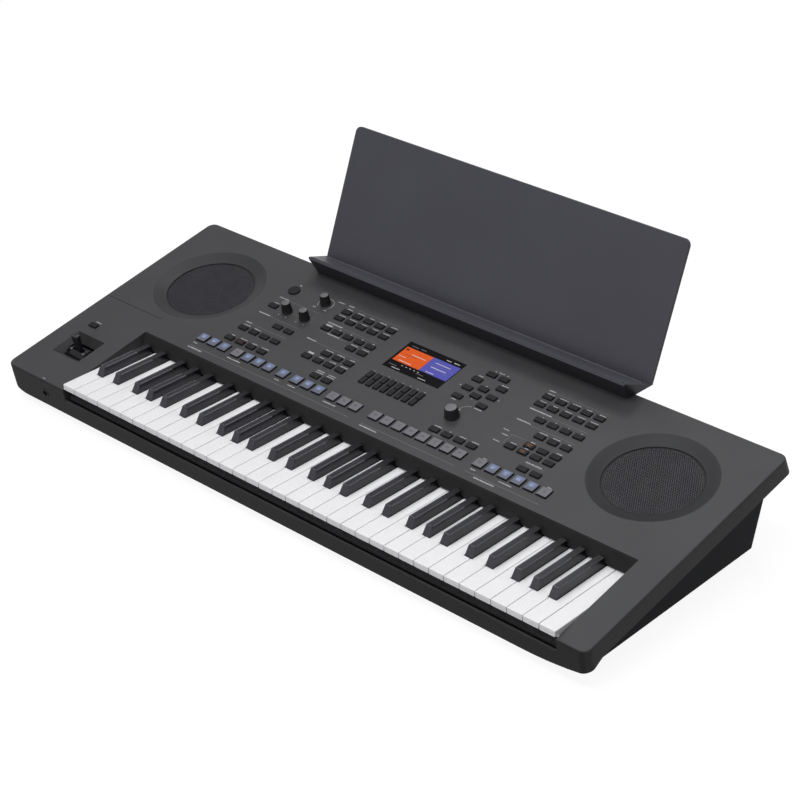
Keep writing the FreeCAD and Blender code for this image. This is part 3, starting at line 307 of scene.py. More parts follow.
FINISH = {
    "upper_case": charcoal, "lower_case": black_case, "music_rest": rest_grey,
    "case_screws": steel, "rubber_feet": rubber, "speaker_frames": basket_black,
    "speaker_cones": cone_black, "speaker_magnets": magnet_grey, "display_window": glass_black,
    "display_module": module_grey, "panel_boards": board_green, "main_board": board_green,
    "keybed_frame": steel, "key_pivot_rod": steel, "key_felts": felt_dark,
    "key_contact_board": board_green, "key_contact_strip": rubber, "key_springs": steel,
    "control_pots": nickel, "joystick_housing": socket_black, "joystick_gimbal": stick_black,
    "joystick_stick": stick_black, "phones_jack": socket_black, "rear_jack_plate": socket_black,
    "rear_sockets": socket_black, "power_button": button_black, "hold_button": button_black,
    "left_pads": pad_side, "middle_pads": pad_side, "right_pads": pad_side,
}
EDGE_MM = {
    "lower_case": 0.5, "music_rest": 0.8, "rubber_feet": 0.8, "joystick_stick": 0.6,
    "joystick_gimbal": 0.4, "power_button": 0.9, "hold_button": 0.5, "left_pads": 0.6,
    "middle_pads": 0.6, "right_pads": 0.6, "screen_keys": 0.45, "display_window": 0.2,
    "rear_jack_plate": 0.3,
}
EDGE_BY_FINISH = {"white_key": 0.7, "button_black": 0.45}
HARD_ANGLE = math.radians(35)
WELD_MM = 0.01


def round_edges(obj, width_mm, segments):
    bevel = obj.modifiers.new("edge", "BEVEL")
    bevel.width = width_mm * MM
    bevel.segments = segments
    bevel.limit_method = "ANGLE"
    bevel.angle_limit = HARD_ANGLE
    return bevel


def soften(obj, width_mm):
    """Closes the imported seams and rounds the hard edges."""
    weld = obj.modifiers.new("weld", "WELD")
    weld.merge_threshold = WELD_MM * MM
    round_edges(obj, width_mm, 3).harden_normals = True


for name, obj in nodes.items():
    if name in FINISH:
        finish = FINISH[name]
    elif name.startswith("black_keys") or name.endswith("_sharp"):
        finish = black_key
    elif name.startswith("white_keys") or name.startswith("key_"):
        finish = white_key
    else:
        finish = button_black
    for i in range(len(obj.data.materials)):
        obj.data.materials[i] = finish
    edge = EDGE_MM.get(name, EDGE_BY_FINISH.get(finish.name, 0.0))
    if edge:
        soften(obj, edge)


# Mesh building in mm

class Build:
    """Collects closed shapes in mm and makes one piece of them."""

    def __init__(self):
        self.points = []
        self.faces = []
        self.slots = []

    def add(self, points, faces, slot=0):
        base = len(self.points)
        self.points += [tuple(p) for p in points]
        self.faces += [tuple(base + i for i in f) for f in faces]
        self.slots += [slot] * len(faces)

    def slab(self, near, far, slot=0):
        """Closed solid between two matching outlines."""
        n = len(near)
        faces = [tuple(reversed(range(n))), tuple(range(n, 2 * n))]
        faces += [(i, (i + 1) % n, n + (i + 1) % n, n + i) for i in range(n)]
        self.add(near + far, faces, slot)

    def prism(self, outline, h0, h1, slot=0):
        """Upright solid on an outline of (x, s) points."""
        self.slab([(x, s, h0) for x, s in outline], [(x, s, h1) for x, s in outline], slot)

    def box(self, x0, x1, s0, s1, h0, h1, slot=0):
        self.prism([(x0, s0), (x1, s0), (x1, s1), (x0, s1)], h0, h1, slot)

    def beam(self, section, x0, x1):
        """Bar along x with the given section of (s, h) points."""
        self.slab([(x0, s, h) for s, h in section], [(x1, s, h) for s, h in section])

    def rod(self, a, b, r, sides=12):
        """Round rod between two points."""
        a, b = Vector(a), Vector(b)
        turn = (b - a).to_track_quat("Z", "Y").to_matrix()
        angles = [2 * math.pi * k / sides for k in range(sides)]
        ring = [turn @ Vector((r * math.cos(t), r * math.sin(t), 0)) for t in angles]
        self.slab([a + p for p in ring], [b + p for p in ring])

    def lathe(self, profile, x, s, steps=48, slot=0, ripple=None):
        """Closed solid of revolution from (radius, height) points, with flat ends."""
        n = len(profile)
        points = []
        faces = []
        for k in range(steps):
            a = 2 * math.pi * k / steps
            m = (k + 1) % steps
            for r, h in profile:
                rr = ripple(r, h, a) if ripple else r
                points.append((x + rr * math.cos(a), s + rr * math.sin(a), h))
            faces += [(k * n + i, m * n + i, m * n + i + 1, k * n + i + 1) for i in range(n - 1)]
        faces.append(tuple(k * n for k in reversed(range(steps))))
        faces.append(tuple(k * n + n - 1 for k in range(steps)))
        self.add(points, faces, slot)

    def hoop(self, profile, x, s, steps=96):
        """Ring swept from a closed loop of (radius, height) points."""
        n = len(profile)
        points = []
        faces = []
        for k in range(steps):
            a = 2 * math.pi * k / steps
            m = (k + 1) % steps
            points += [(x + r * math.cos(a), s + r * math.sin(a), h) for r, h in profile]
            for i in range(n):
                j = (i + 1) % n
                faces.append((n * k + i, n * m + i, n * m + j, n * k + j))
        self.add(points, faces)

    def piece(self, name, body, slot, materials, place=PANEL, smooth=None, edge_mm=0.0,
              closed=True):
        """Makes the piece, in mm of the given place, with its body and materials; the slot is not
        used.
        """
        mesh = bpy.data.meshes.new(name)
        mesh.from_pydata([(place @ Vector(p)) * MM for p in self.points], [], self.faces)
        for mat in materials:
            mesh.materials.append(mat)
        for face, index in zip(mesh.polygons, self.slots):
            face.material_index = index
        mesh.validate()
        if closed:
            form = bmesh.new()
            form.from_mesh(mesh)
            bmesh.ops.recalc_face_normals(form, faces=form.faces)
            form.to_mesh(mesh)
            form.free()
        if smooth is not None:
            mesh.shade_smooth()
            mesh.set_sharp_from_angle(angle=math.radians(smooth))
        obj = bpy.data.objects.new(name, mesh)
        bpy.context.scene.collection.objects.link(obj)
        if edge_mm:
            round_edges(obj, edge_mm, 2)
        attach(obj, body)
        return obj


def rounded(x, s, w, d, r, steps=4):
    """Outline of a rectangle with round corners."""
    outline = []
    for cx, cs, a0 in ((1, 1, 0), (-1, 1, 90), (-1, -1, 180), (1, -1, 270)):
        mid_x = x + cx * (w / 2 - r)
        mid_s = s + cs * (d / 2 - r)
        for k in range(steps + 1):
            a = math.radians(a0 + 90 * k / steps)
            outline.append((mid_x + r * math.cos(a), mid_s + r * math.sin(a)))
    return outline


# Places of the controls on the panel, and the pads that are lit (b blue, r red, g not lit)

BUTTON_PITCH = 20.5
PAD_PITCH = 20.4
PAD_GROUP_STEP = 25.8
CAP_RISE = 2.2
ROW_PAD = 188.6
COL_LEFT = -270.8
COL_STYLE = -169.2
COL_VOICE = 185.4
VOLUME = (-209.3, 337.6)
KNOB_LEFT = (-243.9, 295.6)
KNOB_RIGHT = (-210.2, 295.6)
DIAL = (104.3, 242.0)
PAD_STARTS = {
    "left_pads": (-302.2, (3, 4, 1, 3, 3)), "middle_pads": (19.5, (8,)),
    "right_pads": (195.2, (6,)),
}
PAD_LIGHTS = {"left_pads": "bbbrbbbbbbbggg", "middle_pads": "gggggggg", "right_pads": "gbbbbg"}
GLOW = {"b": (0.058, 0.12, 0.29), "r": (0.045, 0.02, 0.02), "g": (0.0, 0.0, 0.0)}


def pad_places(start, groups):
    places = []
    x = start
    for size in groups:
        places += [x + i * PAD_PITCH for i in range(size)]
        x += (size - 1) * PAD_PITCH + PAD_GROUP_STEP
    return places


# Milky tops on the square pads, some lit from beneath

PAD_TOP = 14.6
PAD_TOP_T = 0.3
PAD_SKIRT = 0.2
GRID = 10
CROWN_FALL, CROWN_POWER = 0.9, 8
GLOW_FLOOR = 0.14
GLOW_RISE = 0.4
GLOW_X, GLOW_S, GLOW_FADE = 1.5, 1.6, 1.2
RIM_DIM, RIM_POWER = 0.35, 6


def grid_rim(row):
    """Indices round the edge of a square grid of points."""
    last = row - 1
    return (list(range(row)) + [j * row + last for j in range(1, row)]
            + [last * row + i for i in range(last - 1, -1, -1)]
            + [j * row for j in range(last - 1, 0, -1)])


def pad_tops(bank):
    start, groups = PAD_STARTS[bank]
    build = Build()
    glow = []
    half = PAD_TOP / 2
    row = GRID + 1
    rim = grid_rim(row)
    n = len(rim)
    for x, kind in zip(pad_places(start, groups), PAD_LIGHTS[bank]):
        points = []
        for j in range(row):
            for i in range(row):
                u = 2 * i / GRID - 1
                v = 2 * j / GRID - 1
                out = max(abs(u), abs(v))
                crown = PAD_TOP_T * (1 - CROWN_FALL * out ** CROWN_POWER)
                points.append((x + u * half, ROW_PAD + v * half, CAP_RISE + crown))
                away = (u * GLOW_X) ** 2 + ((v - GLOW_RISE) * GLOW_S) ** 2
                light = GLOW_FLOOR + (1 - GLOW_FLOOR) * math.exp(-away * GLOW_FADE)
                light *= 1 - RIM_DIM * out ** RIM_POWER
                glow.append([c * light for c in GLOW[kind]])
        faces = [(j * row + i, j * row + i + 1, (j + 1) * row + i + 1, (j + 1) * row + i)
                 for j in range(GRID) for i in range(GRID)]
        base = len(points)
        points += [(points[i][0], points[i][1], CAP_RISE - PAD_SKIRT) for i in rim]
        glow += [[0.0, 0.0, 0.0] for _ in rim]
        faces += [(rim[(k + 1) % n], rim[k], base + k, base + (k + 1) % n) for k in range(n)]
        faces.append(tuple(base + k for k in reversed(range(n))))
        build.add(points, faces, 1 if kind == "b" else 0)
    obj = build.piece(bank + "_tops", bank, "pad_grey", [pad_top, pad_top_lit], smooth=40)
    layer = obj.data.color_attributes.new("glow", "FLOAT_COLOR", "POINT")
    for item, colour in zip(layer.data, glow):
        item.color = (*colour, 1.0)


# A small plain sign on each pad: two bars, a triangle, or two lines with a square between them

SIGN_BARS = ((-2.6, -0.5, -2.0, 2.4), (0.5, 2.6, -2.0, 1.2))
SIGN_TRIANGLE = ((-2.4, -2.2), (2.8, 0.1), (-2.4, 2.4))
SIGN_LINES = ((-2.8, 2.8, 1.4, 2.4), (-2.8, 2.8, -2.4, -1.4), (-0.6, 0.6, -1.0, 1.0))
SIGN_S = ROW_PAD + 0.6
SIGN_LOW = CAP_RISE + PAD_TOP_T - 0.06
SIGN_HIGH = CAP_RISE + PAD_TOP_T + 0.03


def pad_marks(bank):
    start, groups = PAD_STARTS[bank]
    build = Build()
    for i, (x, kind) in enumerate(zip(pad_places(start, groups), PAD_LIGHTS[bank])):
        slot = 0 if kind == "b" else 1
        if i % 3 == 1:
            outline = [(x + dx, SIGN_S + ds) for dx, ds in SIGN_TRIANGLE]
            build.prism(outline, SIGN_LOW, SIGN_HIGH, slot)
        else:
            for x0, x1, s0, s1 in SIGN_LINES if i % 3 else SIGN_BARS:
                build.box(x + x0, x + x1, SIGN_S + s0, SIGN_S + s1, SIGN_LOW, SIGN_HIGH, slot)
    build.piece(bank + "_marks", bank, "pad_grey", [mark_lit, mark_dull])


for bank_name in PAD_STARTS:
    pad_tops(bank_name)
    pad_marks(bank_name)


# Small lamps that show through a few of the buttons, as two short bars each

LAMP_BARS = ((-1.3, 7.0), (1.3, 8.6))
LAMP_BAR_D, LAMP_BAR_R = 1.1, 0.4
LAMP_LOW, LAMP_HIGH = CAP_RISE - 0.15, CAP_RISE + 0.05
LAMP_ROW = 208.8
LAMP_COL = COL_VOICE + 2 * BUTTON_PITCH


def lamps(name, body, places, mat):
    build = Build()
    for x, s in places:
        for ds, width in LAMP_BARS:
            build.prism(rounded(x, s + ds, width, LAMP_BAR_D, LAMP_BAR_R), LAMP_LOW, LAMP_HIGH)
    build.piece(name, body, "button_black", [mat])


lamps("lamp_green", "left_buttons", [(COL_LEFT, LAMP_ROW)], light_green)
lamps("lamp_red", "left_buttons", [(COL_LEFT + BUTTON_PITCH, LAMP_ROW)], light_red)
lamps("lamp_orange", "voice_buttons", [(LAMP_COL, 248.0), (LAMP_COL, 234.4)], light_orange)


# Printed marks: bars in the rhythm of small type, thin lines, dots and a ring, with no lettering

PRINT_LOW = -0.03
PRINT_HIGH = 0.04
STROKE_W = (0.75, 1.25)
STROKE_GAP = 0.32
STROKE_TALL = (1.0, 1.0, 0.72)
STROKE_LEAST = 0.5
DOT_SIDES = 12
printed = Build()


def word(x, s, width, height=1.7, slot=0):
    """A run of short strokes as wide as a small legend, starting at x."""
    at = x
    low = s - height / 2
    while at < x + width - STROKE_LEAST:
        step = min(rng.uniform(*STROKE_W), x + width - at)
        tall = height * rng.choice(STROKE_TALL)
        printed.box(at, at + step, low, low + tall, PRINT_LOW, PRINT_HIGH, slot)
        at += step + STROKE_GAP


def centred_word(x, s, width, height=1.6, slot=0):
    word(x - width / 2, s, width, height, slot)


def block(x0, x1, s0, s1):
    printed.box(x0, x1, s0, s1, PRINT_LOW, PRINT_HIGH)


def line(x0, s0, x1, s1, width=0.4):
    dx, ds = x1 - x0, s1 - s0
    d = math.hypot(dx, ds)
    px, ps = -ds / d * width / 2, dx / d * width / 2
    outline = [(x0 - px, s0 - ps), (x1 - px, s1 - ps), (x1 + px, s1 + ps), (x0 + px, s0 + ps)]
    printed.prism(outline, PRINT_LOW, PRINT_HIGH, 1)


def dot(x, s, r=0.9, slot=0):
    angles = [2 * math.pi * k / DOT_SIDES for k in range(DOT_SIDES)]
    outline = [(x + r * math.cos(a), s + r * math.sin(a)) for a in angles]
    printed.prism(outline, PRINT_LOW, PRINT_HIGH, slot)


def arc(x, s, r, a0, a1, width=0.55, slot=0, steps=28):
    for k in range(steps):
        a, b = (math.radians(a0 + (a1 - a0) * t / steps) for t in (k, k + 1))
        ends = [(r - width / 2, a), (r + width / 2, a), (r + width / 2, b), (r - width / 2, b)]
        outline = [(x + q * math.cos(t), s + q * math.sin(t)) for q, t in ends]
        printed.prism(outline, PRINT_LOW, PRINT_HIGH, slot)


def heading(x0, x1, s, line_end, line_s):
    """Words from x0 to x1, with a thin line after them."""
    word(x0, s, x1 - x0, 2.0)
    line(x1 + 1.0, line_s, line_end, line_s)


def legends(col, first, last, s, widths, height=1.6):
    """A legend over each button of a row, and none where the width is 0."""
    for i, w in zip(range(first, last), widths):
        if w:
            centred_word(col + i * BUTTON_PITCH, s, w, height)


# The numbers are places on the panel, x before s, then the width and height of a legend.
# Left block

centred_word(-270.6, 352.0, 4.0, 2.2)
heading(-279.0, -261.0, 316.8, -201.5, 316.2)
centred_word(-271.5, 303.4, 9.0)
heading(-279.0, -258.0, 275.8, -203.0, 274.6)
heading(-279.0, -268.5, 249.6, -202.4, 248.4)
legends(COL_LEFT, 0, 2, 243.0, (13.0, 12.0))
legends(COL_LEFT, 0, 4, 216.6, (6.0, 13.0, 9.0, 13.0))

# Style block

heading(-177.7, -168.0, 352.4, -80.0, 351.2)
legends(COL_STYLE, 0, 5, 345.6, (10.0, 12.0, 8.0, 12.0, 12.0))
legends(COL_STYLE, 0, 5, 329.2, (12.0, 13.0, 9.0, 9.0, 12.0))
heading(-177.1, -150.0, 308.6, -82.2, 307.2)
block(-175.6, -164.4, 301.6, 304.6)
legends(COL_STYLE, 1, 5, 302.8, (2.4, 2.4, 2.4, 2.4), 2.0)
line(-174.5, 287.4, -125.0, 287.4, 0.5)
word(-160.0, 288.6, 22.0, 1.6)
legends(COL_STYLE, 3, 5, 287.0, (12.0, 12.0))
heading(-177.6, -160.5, 266.6, -79.7, 265.2)
block(-153.6, -143.8, 242.4, 245.8)
legends(COL_STYLE, 2, 5, 260.2, (13.0, 13.0, 8.0))
legends(COL_STYLE, 2, 5, 243.4, (8.0, 11.0, 12.0))
legends(COL_STYLE, 3, 5, 217.2, (13.0, 13.0))
legends(COL_STYLE, 3, 5, 220.8, (13.0, 14.0))

# Screen keys, navigation buttons and dial

SCREEN_KEY_START, SCREEN_KEY_PITCH = -46.0, 12.6
for i in range(8):
    centred_word(SCREEN_KEY_START + SCREEN_KEY_PITCH * i, 260.4, 1.3, 1.7)
for place in ((70.6, 298.6), (135.0, 298.4), (102.8, 313.4), (102.4, 283.0), (93.2, 344.4),
              (112.9, 344.8)):
    dot(*place)
centred_word(103.2, 345.0, 9.0)
centred_word(83.0, 326.2, 8.0)
centred_word(124.0, 326.0, 11.0)
centred_word(82.4, 270.6, 7.0)
word(117.4, 270.2, 12.0, 1.8)
arc(113.5, 258.6, 11.2, 92, 176, 0.45, 0, 14)
dot(103.6, 257.4, 1.2)
legends(103.1, 0, 4, 216.6, (13.0, 2.0, 10.0, 11.0))
centred_word(112.0, 202.4, 14.0, 1.4, 1)

# Voice block

heading(177.3, 188.0, 350.6, 273.5, 349.4)
legends(COL_VOICE, 0, 5, 344.4, (12.0, 13.0, 13.0, 9.0, 10.0))
legends(COL_VOICE, 0, 5, 327.4, (9.0, 8.0, 11.0, 12.0, 12.0))
heading(178.2, 213.4, 308.8, 274.0, 306.6)
legends(COL_VOICE, 1, 5, 302.0, (1.6, 1.6, 1.6, 1.6), 1.8)
heading(177.5, 200.6, 283.2, 273.4, 281.0)
legends(COL_VOICE, 2, 5, 276.6, (13.0, 11.0, 4.0))
word(176.2, 258.6, 9.0)
word(180.4, 249.8, 10.0)
word(178.6, 235.0, 10.0)
line(191.5, 254.4, 215.0, 255.2)
line(193.0, 237.0, 193.0, 254.4)
legends(COL_VOICE, 2, 5, 255.8, (7.0, 0, 8.0))
legends(COL_VOICE, 1, 3, 242.2, (9.0, 6.0))
word(241.5, 222.4, 25.0, 1.8)
line(241.5, 220.4, 270.0, 220.4)

# Row of pads

PAD_LINE = 168.4
PAD_LEGEND = 175.4
PAD_HEADING = 164.6
PAD_UPPER = 199.4
line(-309.5, PAD_LINE, -10.0, PAD_LINE, 0.5)
line(12.0, PAD_LINE, 170.0, PAD_LINE, 0.5)
line(187.5, PAD_LINE, 305.0, PAD_LINE, 0.5)
word(-309.0, PAD_LEGEND, 8.0, 1.8)
word(-309.0, PAD_HEADING, 26.0, 2.2)
word(-243.0, PAD_LEGEND, 25.0, 1.8)
word(-152.0, PAD_LEGEND, 9.0, 1.8)
word(-127.0, PAD_LEGEND, 14.0, 1.8)
word(-62.0, PAD_LEGEND, 22.0, 1.8)
word(13.0, PAD_HEADING, 30.0, 2.2)
centred_word(195.2, PAD_UPPER, 7.0, 1.7)
centred_word(195.2, PAD_LEGEND, 8.0, 1.8)
word(236.0, PAD_LEGEND, 20.0, 1.8)
word(205.0, PAD_HEADING, 32.0, 2.2)
centred_word(297.2, PAD_UPPER, 7.0, 1.7)

# Knobs

SCALE_R = 12.0
TICKS, TICK_FIRST, TICK_STEP = 11, -60, 30
arc(*VOLUME, SCALE_R, -48, 228)
centred_word(-219.8, 325.2, 5.0, 1.6)
centred_word(-200.0, 325.6, 5.5, 1.6)
word(-197.6, 351.6, 12.0, 1.8)
for kx, ks in (KNOB_LEFT, KNOB_RIGHT):
    for step in range(TICKS):
        angle = math.radians(TICK_FIRST + TICK_STEP * step)
        dot(kx + SCALE_R * math.cos(angle), ks + SCALE_R * math.sin(angle), 0.42, 1)
    for side in (-7.0, 7.0):
        dot(kx + side, ks - 10.6, 0.8)

# Joystick, phones socket and left speaker

centred_word(-460.5, 134.2, 11.0, 1.8)
centred_word(-429.5, 4.6, 5.0, 1.4)
arc(-392.5, 193.0, 4.6, -90, -25, 0.8, 2, 8)
printed.piece("panel_print", "case", "case_charcoal", [print_white, print_grey, cone_black])


# Picture on the screen: plain coloured fields and bars

GLASS = -0.2
PICTURE_LOW = GLASS - 0.05
CAPTION_W = (0.8, 1.6)
CAPTION_GAP = 0.35
CAPTION_LEAST = 0.4
ORANGE, BLUE, WHITE, DIM, SHADE = range(5)
picture = Build()


def field(x0, x1, s0, s1, slot, level=0.03):
    picture.box(x0, x1, s0, s1, PICTURE_LOW, GLASS + level, slot)


def caption(x0, s, width, height, slot):
    """A run of short strokes, starting at x0."""
    at = x0
    while at < x0 + width - CAPTION_LEAST:
        step = min(rng.uniform(*CAPTION_W), x0 + width - at)
        field(at, at + step, s - height / 2, s + height / 2, slot, 0.06)
        at += step + CAPTION_GAP


field(-44.4, 2.2, 292.7, 324.4, ORANGE)
field(2.4, 49.2, 293.0, 324.8, BLUE)
field(-42.2, -37.4, 317.6, 321.6, SHADE, 0.05)
caption(-27.0, 313.6, 24.0, 1.3, WHITE)
field(-36.0, -16.0, 309.6, 310.2, SHADE, 0.05)
caption(-36.0, 296.0, 22.0, 1.3, WHITE)
caption(-42.0, 304.0, 12.0, 1.0, WHITE)
caption(12.0, 316.6, 26.0, 1.3, WHITE)
field(6.0, 46.0, 311.6, 312.1, DIM, 0.05)
caption(12.0, 306.8, 26.0, 1.6, WHITE)
caption(12.0, 295.8, 14.0, 1.3, WHITE)
caption(36.0, 302.6, 8.0, 1.0, DIM)
caption(-40.0, 328.8, 12.0, 1.4, DIM)
caption(-24.0, 329.2, 9.0, 1.4, DIM)
caption(21.0, 329.0, 8.0, 1.4, WHITE)
caption(34.0, 329.4, 9.0, 1.4, WHITE)
caption(-42.0, 284.0, 13.0, 1.2, DIM)
caption(-34.0, 279.6, 14.0, 1.2, WHITE)
for k in range(5):
    caption(-24.0 + 7.0 * k, 288.4, 2.6, 1.2, WHITE)
caption(4.0, 285.6, 12.0, 1.2, DIM)
caption(12.0, 279.6, 14.0, 1.2, WHITE)
picture.piece("screen_picture", "case", "screen_gloss",
              [screen_orange, screen_blue, screen_white, screen_dim, screen_shade])


# Knobs with fluted sides, a paler cap and a pointer

KNOB_GAP = 0.6
SHAFT_R, SHAFT_FOOT = 3.0, -8.9
SKIRT_H = 1.3
FLUTE_FOOT, FLUTE_HEAD = 1.4, 0.7
SIDE_STEPS = 6
PLAIN_STEPS = 72
FLUTE_STEPS = 8
CAP_INSET, CAP_SUNK = 0.75, 0.4
POINTER_IN, POINTER_OUT, POINTER_HALF = 0.45, 0.35, 0.5
KNOB = {"r_base": 7.7, "r_top": 6.4, "height": 15.4, "flutes": 20, "depth": 0.42}


def fluted_knob(name, at, r_base, r_top, height, flutes=0, depth=0.0, mark=0):
    x, s = at
    foot = KNOB_GAP
    top = foot + height
    build = Build()

    def ripple(r, h, a):
        if foot + FLUTE_FOOT < h < top - FLUTE_HEAD and r > r_top * 0.7:
            return r - depth * (0.5 + 0.5 * math.cos(flutes * a)) ** 2
        return r

    side = [(SHAFT_R, SHAFT_FOOT), (SHAFT_R, foot), (r_base - 0.4, foot), (r_base, foot + 0.4),
            (r_base, foot + SKIRT_H)]
    for k in range(SIDE_STEPS + 1):
        t = k / SIDE_STEPS
        r = r_base + (r_top - r_base) * (0.08 + 0.92 * t)
        side.append((r, foot + 1.6 + (height - 2.4) * t))
    side += [(r_top - 0.1, top - 0.5), (r_top - 0.5, top - 0.1), (r_top - 0.9, top - 0.1)]
    if depth:
        build.lathe(side, x, s, flutes * FLUTE_STEPS, 0, ripple)
    else:
        build.lathe(side, x, s, PLAIN_STEPS)
    cap_r = r_top - CAP_INSET
    cap = [(cap_r, top - CAP_SUNK), (cap_r, top - 0.04), (cap_r - 0.3, top)]
    build.lathe(cap, x, s, 48, 1)
    if depth:
        a = math.radians(mark)
        c, d = math.cos(a), math.sin(a)
        near, far, half = POINTER_IN * cap_r, cap_r + POINTER_OUT, POINTER_HALF
        ends = [(near, -half), (far, -half), (far, half), (near, half)]
        outline = [(x + p * c - q * d, s + p * d + q * c) for p, q in ends]
        build.prism(outline, top - CAP_SUNK, top, 2)
    materials = [knob_black, knob_cap, print_white]
    obj = build.piece(name + "_grip", name, "knob_black", materials, smooth=35)
    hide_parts(name)


fluted_knob("volume_knob", VOLUME, **KNOB, mark=55)
fluted_knob("control_knob_left", KNOB_LEFT, **KNOB, mark=75)
fluted_knob("control_knob_right", KNOB_RIGHT, **KNOB, mark=75)
fluted_knob("data_dial", DIAL, r_base=10.3, r_top=8.4, height=14.4)


# Rounded edges of the black keys, which catch the light as thin lines

KEY_FRONT_Y = FRONT_Y + 1.2
KEY_TOP_Z = PANEL_FRONT_Z + 9.6
KEY_PITCH = 23.5
KEY_GAP = 0.9
BLACK_FRONT = 49.0
BLACK_SLOPE = 6.0
BLACK_BACK = 139.0
BLACK_HEIGHT = 12.0
BLACK_HALF_TOP = 4.7
BLACK_OFFSETS = (19.4, 51.1, 90.0, 117.5, 145.0)
BLACK_NAMES = ("key_c_sharp", "key_d_sharp", "key_f_sharp", "key_g_sharp", "key_a_sharp")
OCTAVES = 5
SINGLE_OCTAVE = 2
WORLD = Matrix.Identity(4)
EDGE_R = 1.0
EDGE_INSET = 0.62
EDGE_BACK = 26.0
key_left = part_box("white_keys_octave_1")[0][0] / MM - KEY_GAP / 2


def black_edges(build, centre):
    """Rods along the front edge and the two side edges of a black key's top."""
    top = KEY_TOP_Z + BLACK_HEIGHT - EDGE_INSET
    front = KEY_FRONT_Y + BLACK_FRONT + BLACK_SLOPE + EDGE_INSET
    rear = KEY_FRONT_Y + BLACK_BACK - EDGE_BACK
    half = BLACK_HALF_TOP - EDGE_INSET
    for x in (centre - half, centre + half):
        build.rod((x, front, top), (x, rear, top), EDGE_R)
    build.rod((centre - half, front, top), (centre + half, front, top), EDGE_R)


for octave in range(OCTAVES):
    centres = [key_left + 7 * KEY_PITCH * octave + off for off in BLACK_OFFSETS]
    if octave == SINGLE_OCTAVE:
        groups = [(name, [c]) for name, c in zip(BLACK_NAMES, centres)]
    else:
        groups = [("black_keys_octave_%d" % (octave + 1), centres)]
    for name, group in groups:
        edges = Build()
        for c in group:
            black_edges(edges, c)
        edges.piece(name + "_edges", name, "key_black", [black_edge], WORLD, smooth=40)


# Perforated speaker meshes, each with an edge ring, a gap and a dished bowl round it; the ring and
# the gap's wall are dark as a painted shade under the bowl's lip

SPEAKER_X = 388.4
SPEAKER_S = 284.0
MESH_R = 64.0
RIM_R = 63.0
HOLE_PITCH = 3.0
HOLE_R = 1.12
SHEET_T = 0.4
MESH_EDGE = -7.55
MESH_DOME = 1.2
LIP = -6.4
DISH_R = 82.0
RING_IN = RIM_R - 1.7
BOWL_STEPS = 144
RING = [(RING_IN, MESH_EDGE - SHEET_T), (MESH_R, MESH_EDGE - SHEET_T), (MESH_R, MESH_EDGE + 0.02),
        (RING_IN, MESH_EDGE + 0.1)]
GAP = [(MESH_R - 0.1, MESH_EDGE - 0.1), (MESH_R + 0.2, MESH_EDGE - 0.1), (MESH_R + 0.2, LIP - 0.15),
       (MESH_R - 0.1, LIP - 0.3)]
BOWL = [(MESH_R + 0.2, MESH_EDGE), (MESH_R + 0.6, MESH_EDGE + 0.4), (DISH_R + 0.3, -0.15),
        (DISH_R + 0.1, 0.05), (DISH_R - 0.5, -0.1), (DISH_R - 1.2, -0.25), (73.0, -3.2),
        (MESH_R + 0.8, LIP + 0.1), (MESH_R + 0.3, LIP), (MESH_R, LIP - 0.3)]
SPEAKERS = (-SPEAKER_X, SPEAKER_X)


def hole_places():
    """Places of the holes in a round sheet, in staggered rows."""
    reach = 2 * (int(MESH_R / HOLE_PITCH) + 2)
    for j in range(-reach, reach):
        for i in range(-reach, reach):
            px = HOLE_PITCH * (i + 0.5 * (j % 2))
            ps = HOLE_PITCH * math.sqrt(3) / 2 * j
            if math.hypot(px, ps) <= RIM_R - HOLE_PITCH / math.sqrt(3):
                yield px, ps


def speaker_mesh(build, cx):
    """Slightly domed sheet of six-sided cells, each with a six-sided hole."""
    corner = HOLE_PITCH / math.sqrt(3)
    angles = [math.radians(30 + 60 * k) for k in range(6)]
    shared = {}

    def domed(px, ps):
        height = MESH_EDGE + MESH_DOME * (1 - (px * px + ps * ps) / RIM_R ** 2)
        return cx + px, SPEAKER_S + ps, height

    def outer(px, ps):
        key = (round(px, 3), round(ps, 3))
        if key not in shared:
            shared[key] = len(build.points)
            build.points.append(domed(px, ps))
        return shared[key]

    for px, ps in hole_places():
        ring = [outer(px + corner * math.cos(a), ps + corner * math.sin(a)) for a in angles]
        base = len(build.points)
        for a in angles:
            build.points.append(domed(px + HOLE_R * math.cos(a), ps + HOLE_R * math.sin(a)))
        for k in range(6):
            m = (k + 1) % 6
            build.faces.append((ring[k], ring[m], base + m, base + k))
            build.slots.append(0)


sheets, rings, gaps, bowls = Build(), Build(), Build(), Build()
for cx in SPEAKERS:
    speaker_mesh(sheets, cx)
    rings.hoop(RING, cx, SPEAKER_S)
    gaps.hoop(GAP, cx, SPEAKER_S, BOWL_STEPS)
    bowls.hoop(BOWL, cx, SPEAKER_S, BOWL_STEPS)
obj = sheets.piece("speaker_mesh", "case", "mesh", [mesh_black], closed=False)
sheet = obj.modifiers.new("sheet", "SOLIDIFY")
sheet.thickness = SHEET_T * MM
sheet.offset = -1.0
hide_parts("speaker_grilles")
rings.piece("speaker_edge", "case", "mesh", [mesh_rim_shade], smooth=40)
# Painted shade: the gap's wall is near-black, standing in for the shadow below the lip.
gaps.piece("speaker_gap", "case", "mesh", [cone_black], smooth=40)
bowls.piece("speaker_bowl", "case", "case_charcoal", [dish_charcoal], smooth=50)


# Ring of the phones socket in the front face

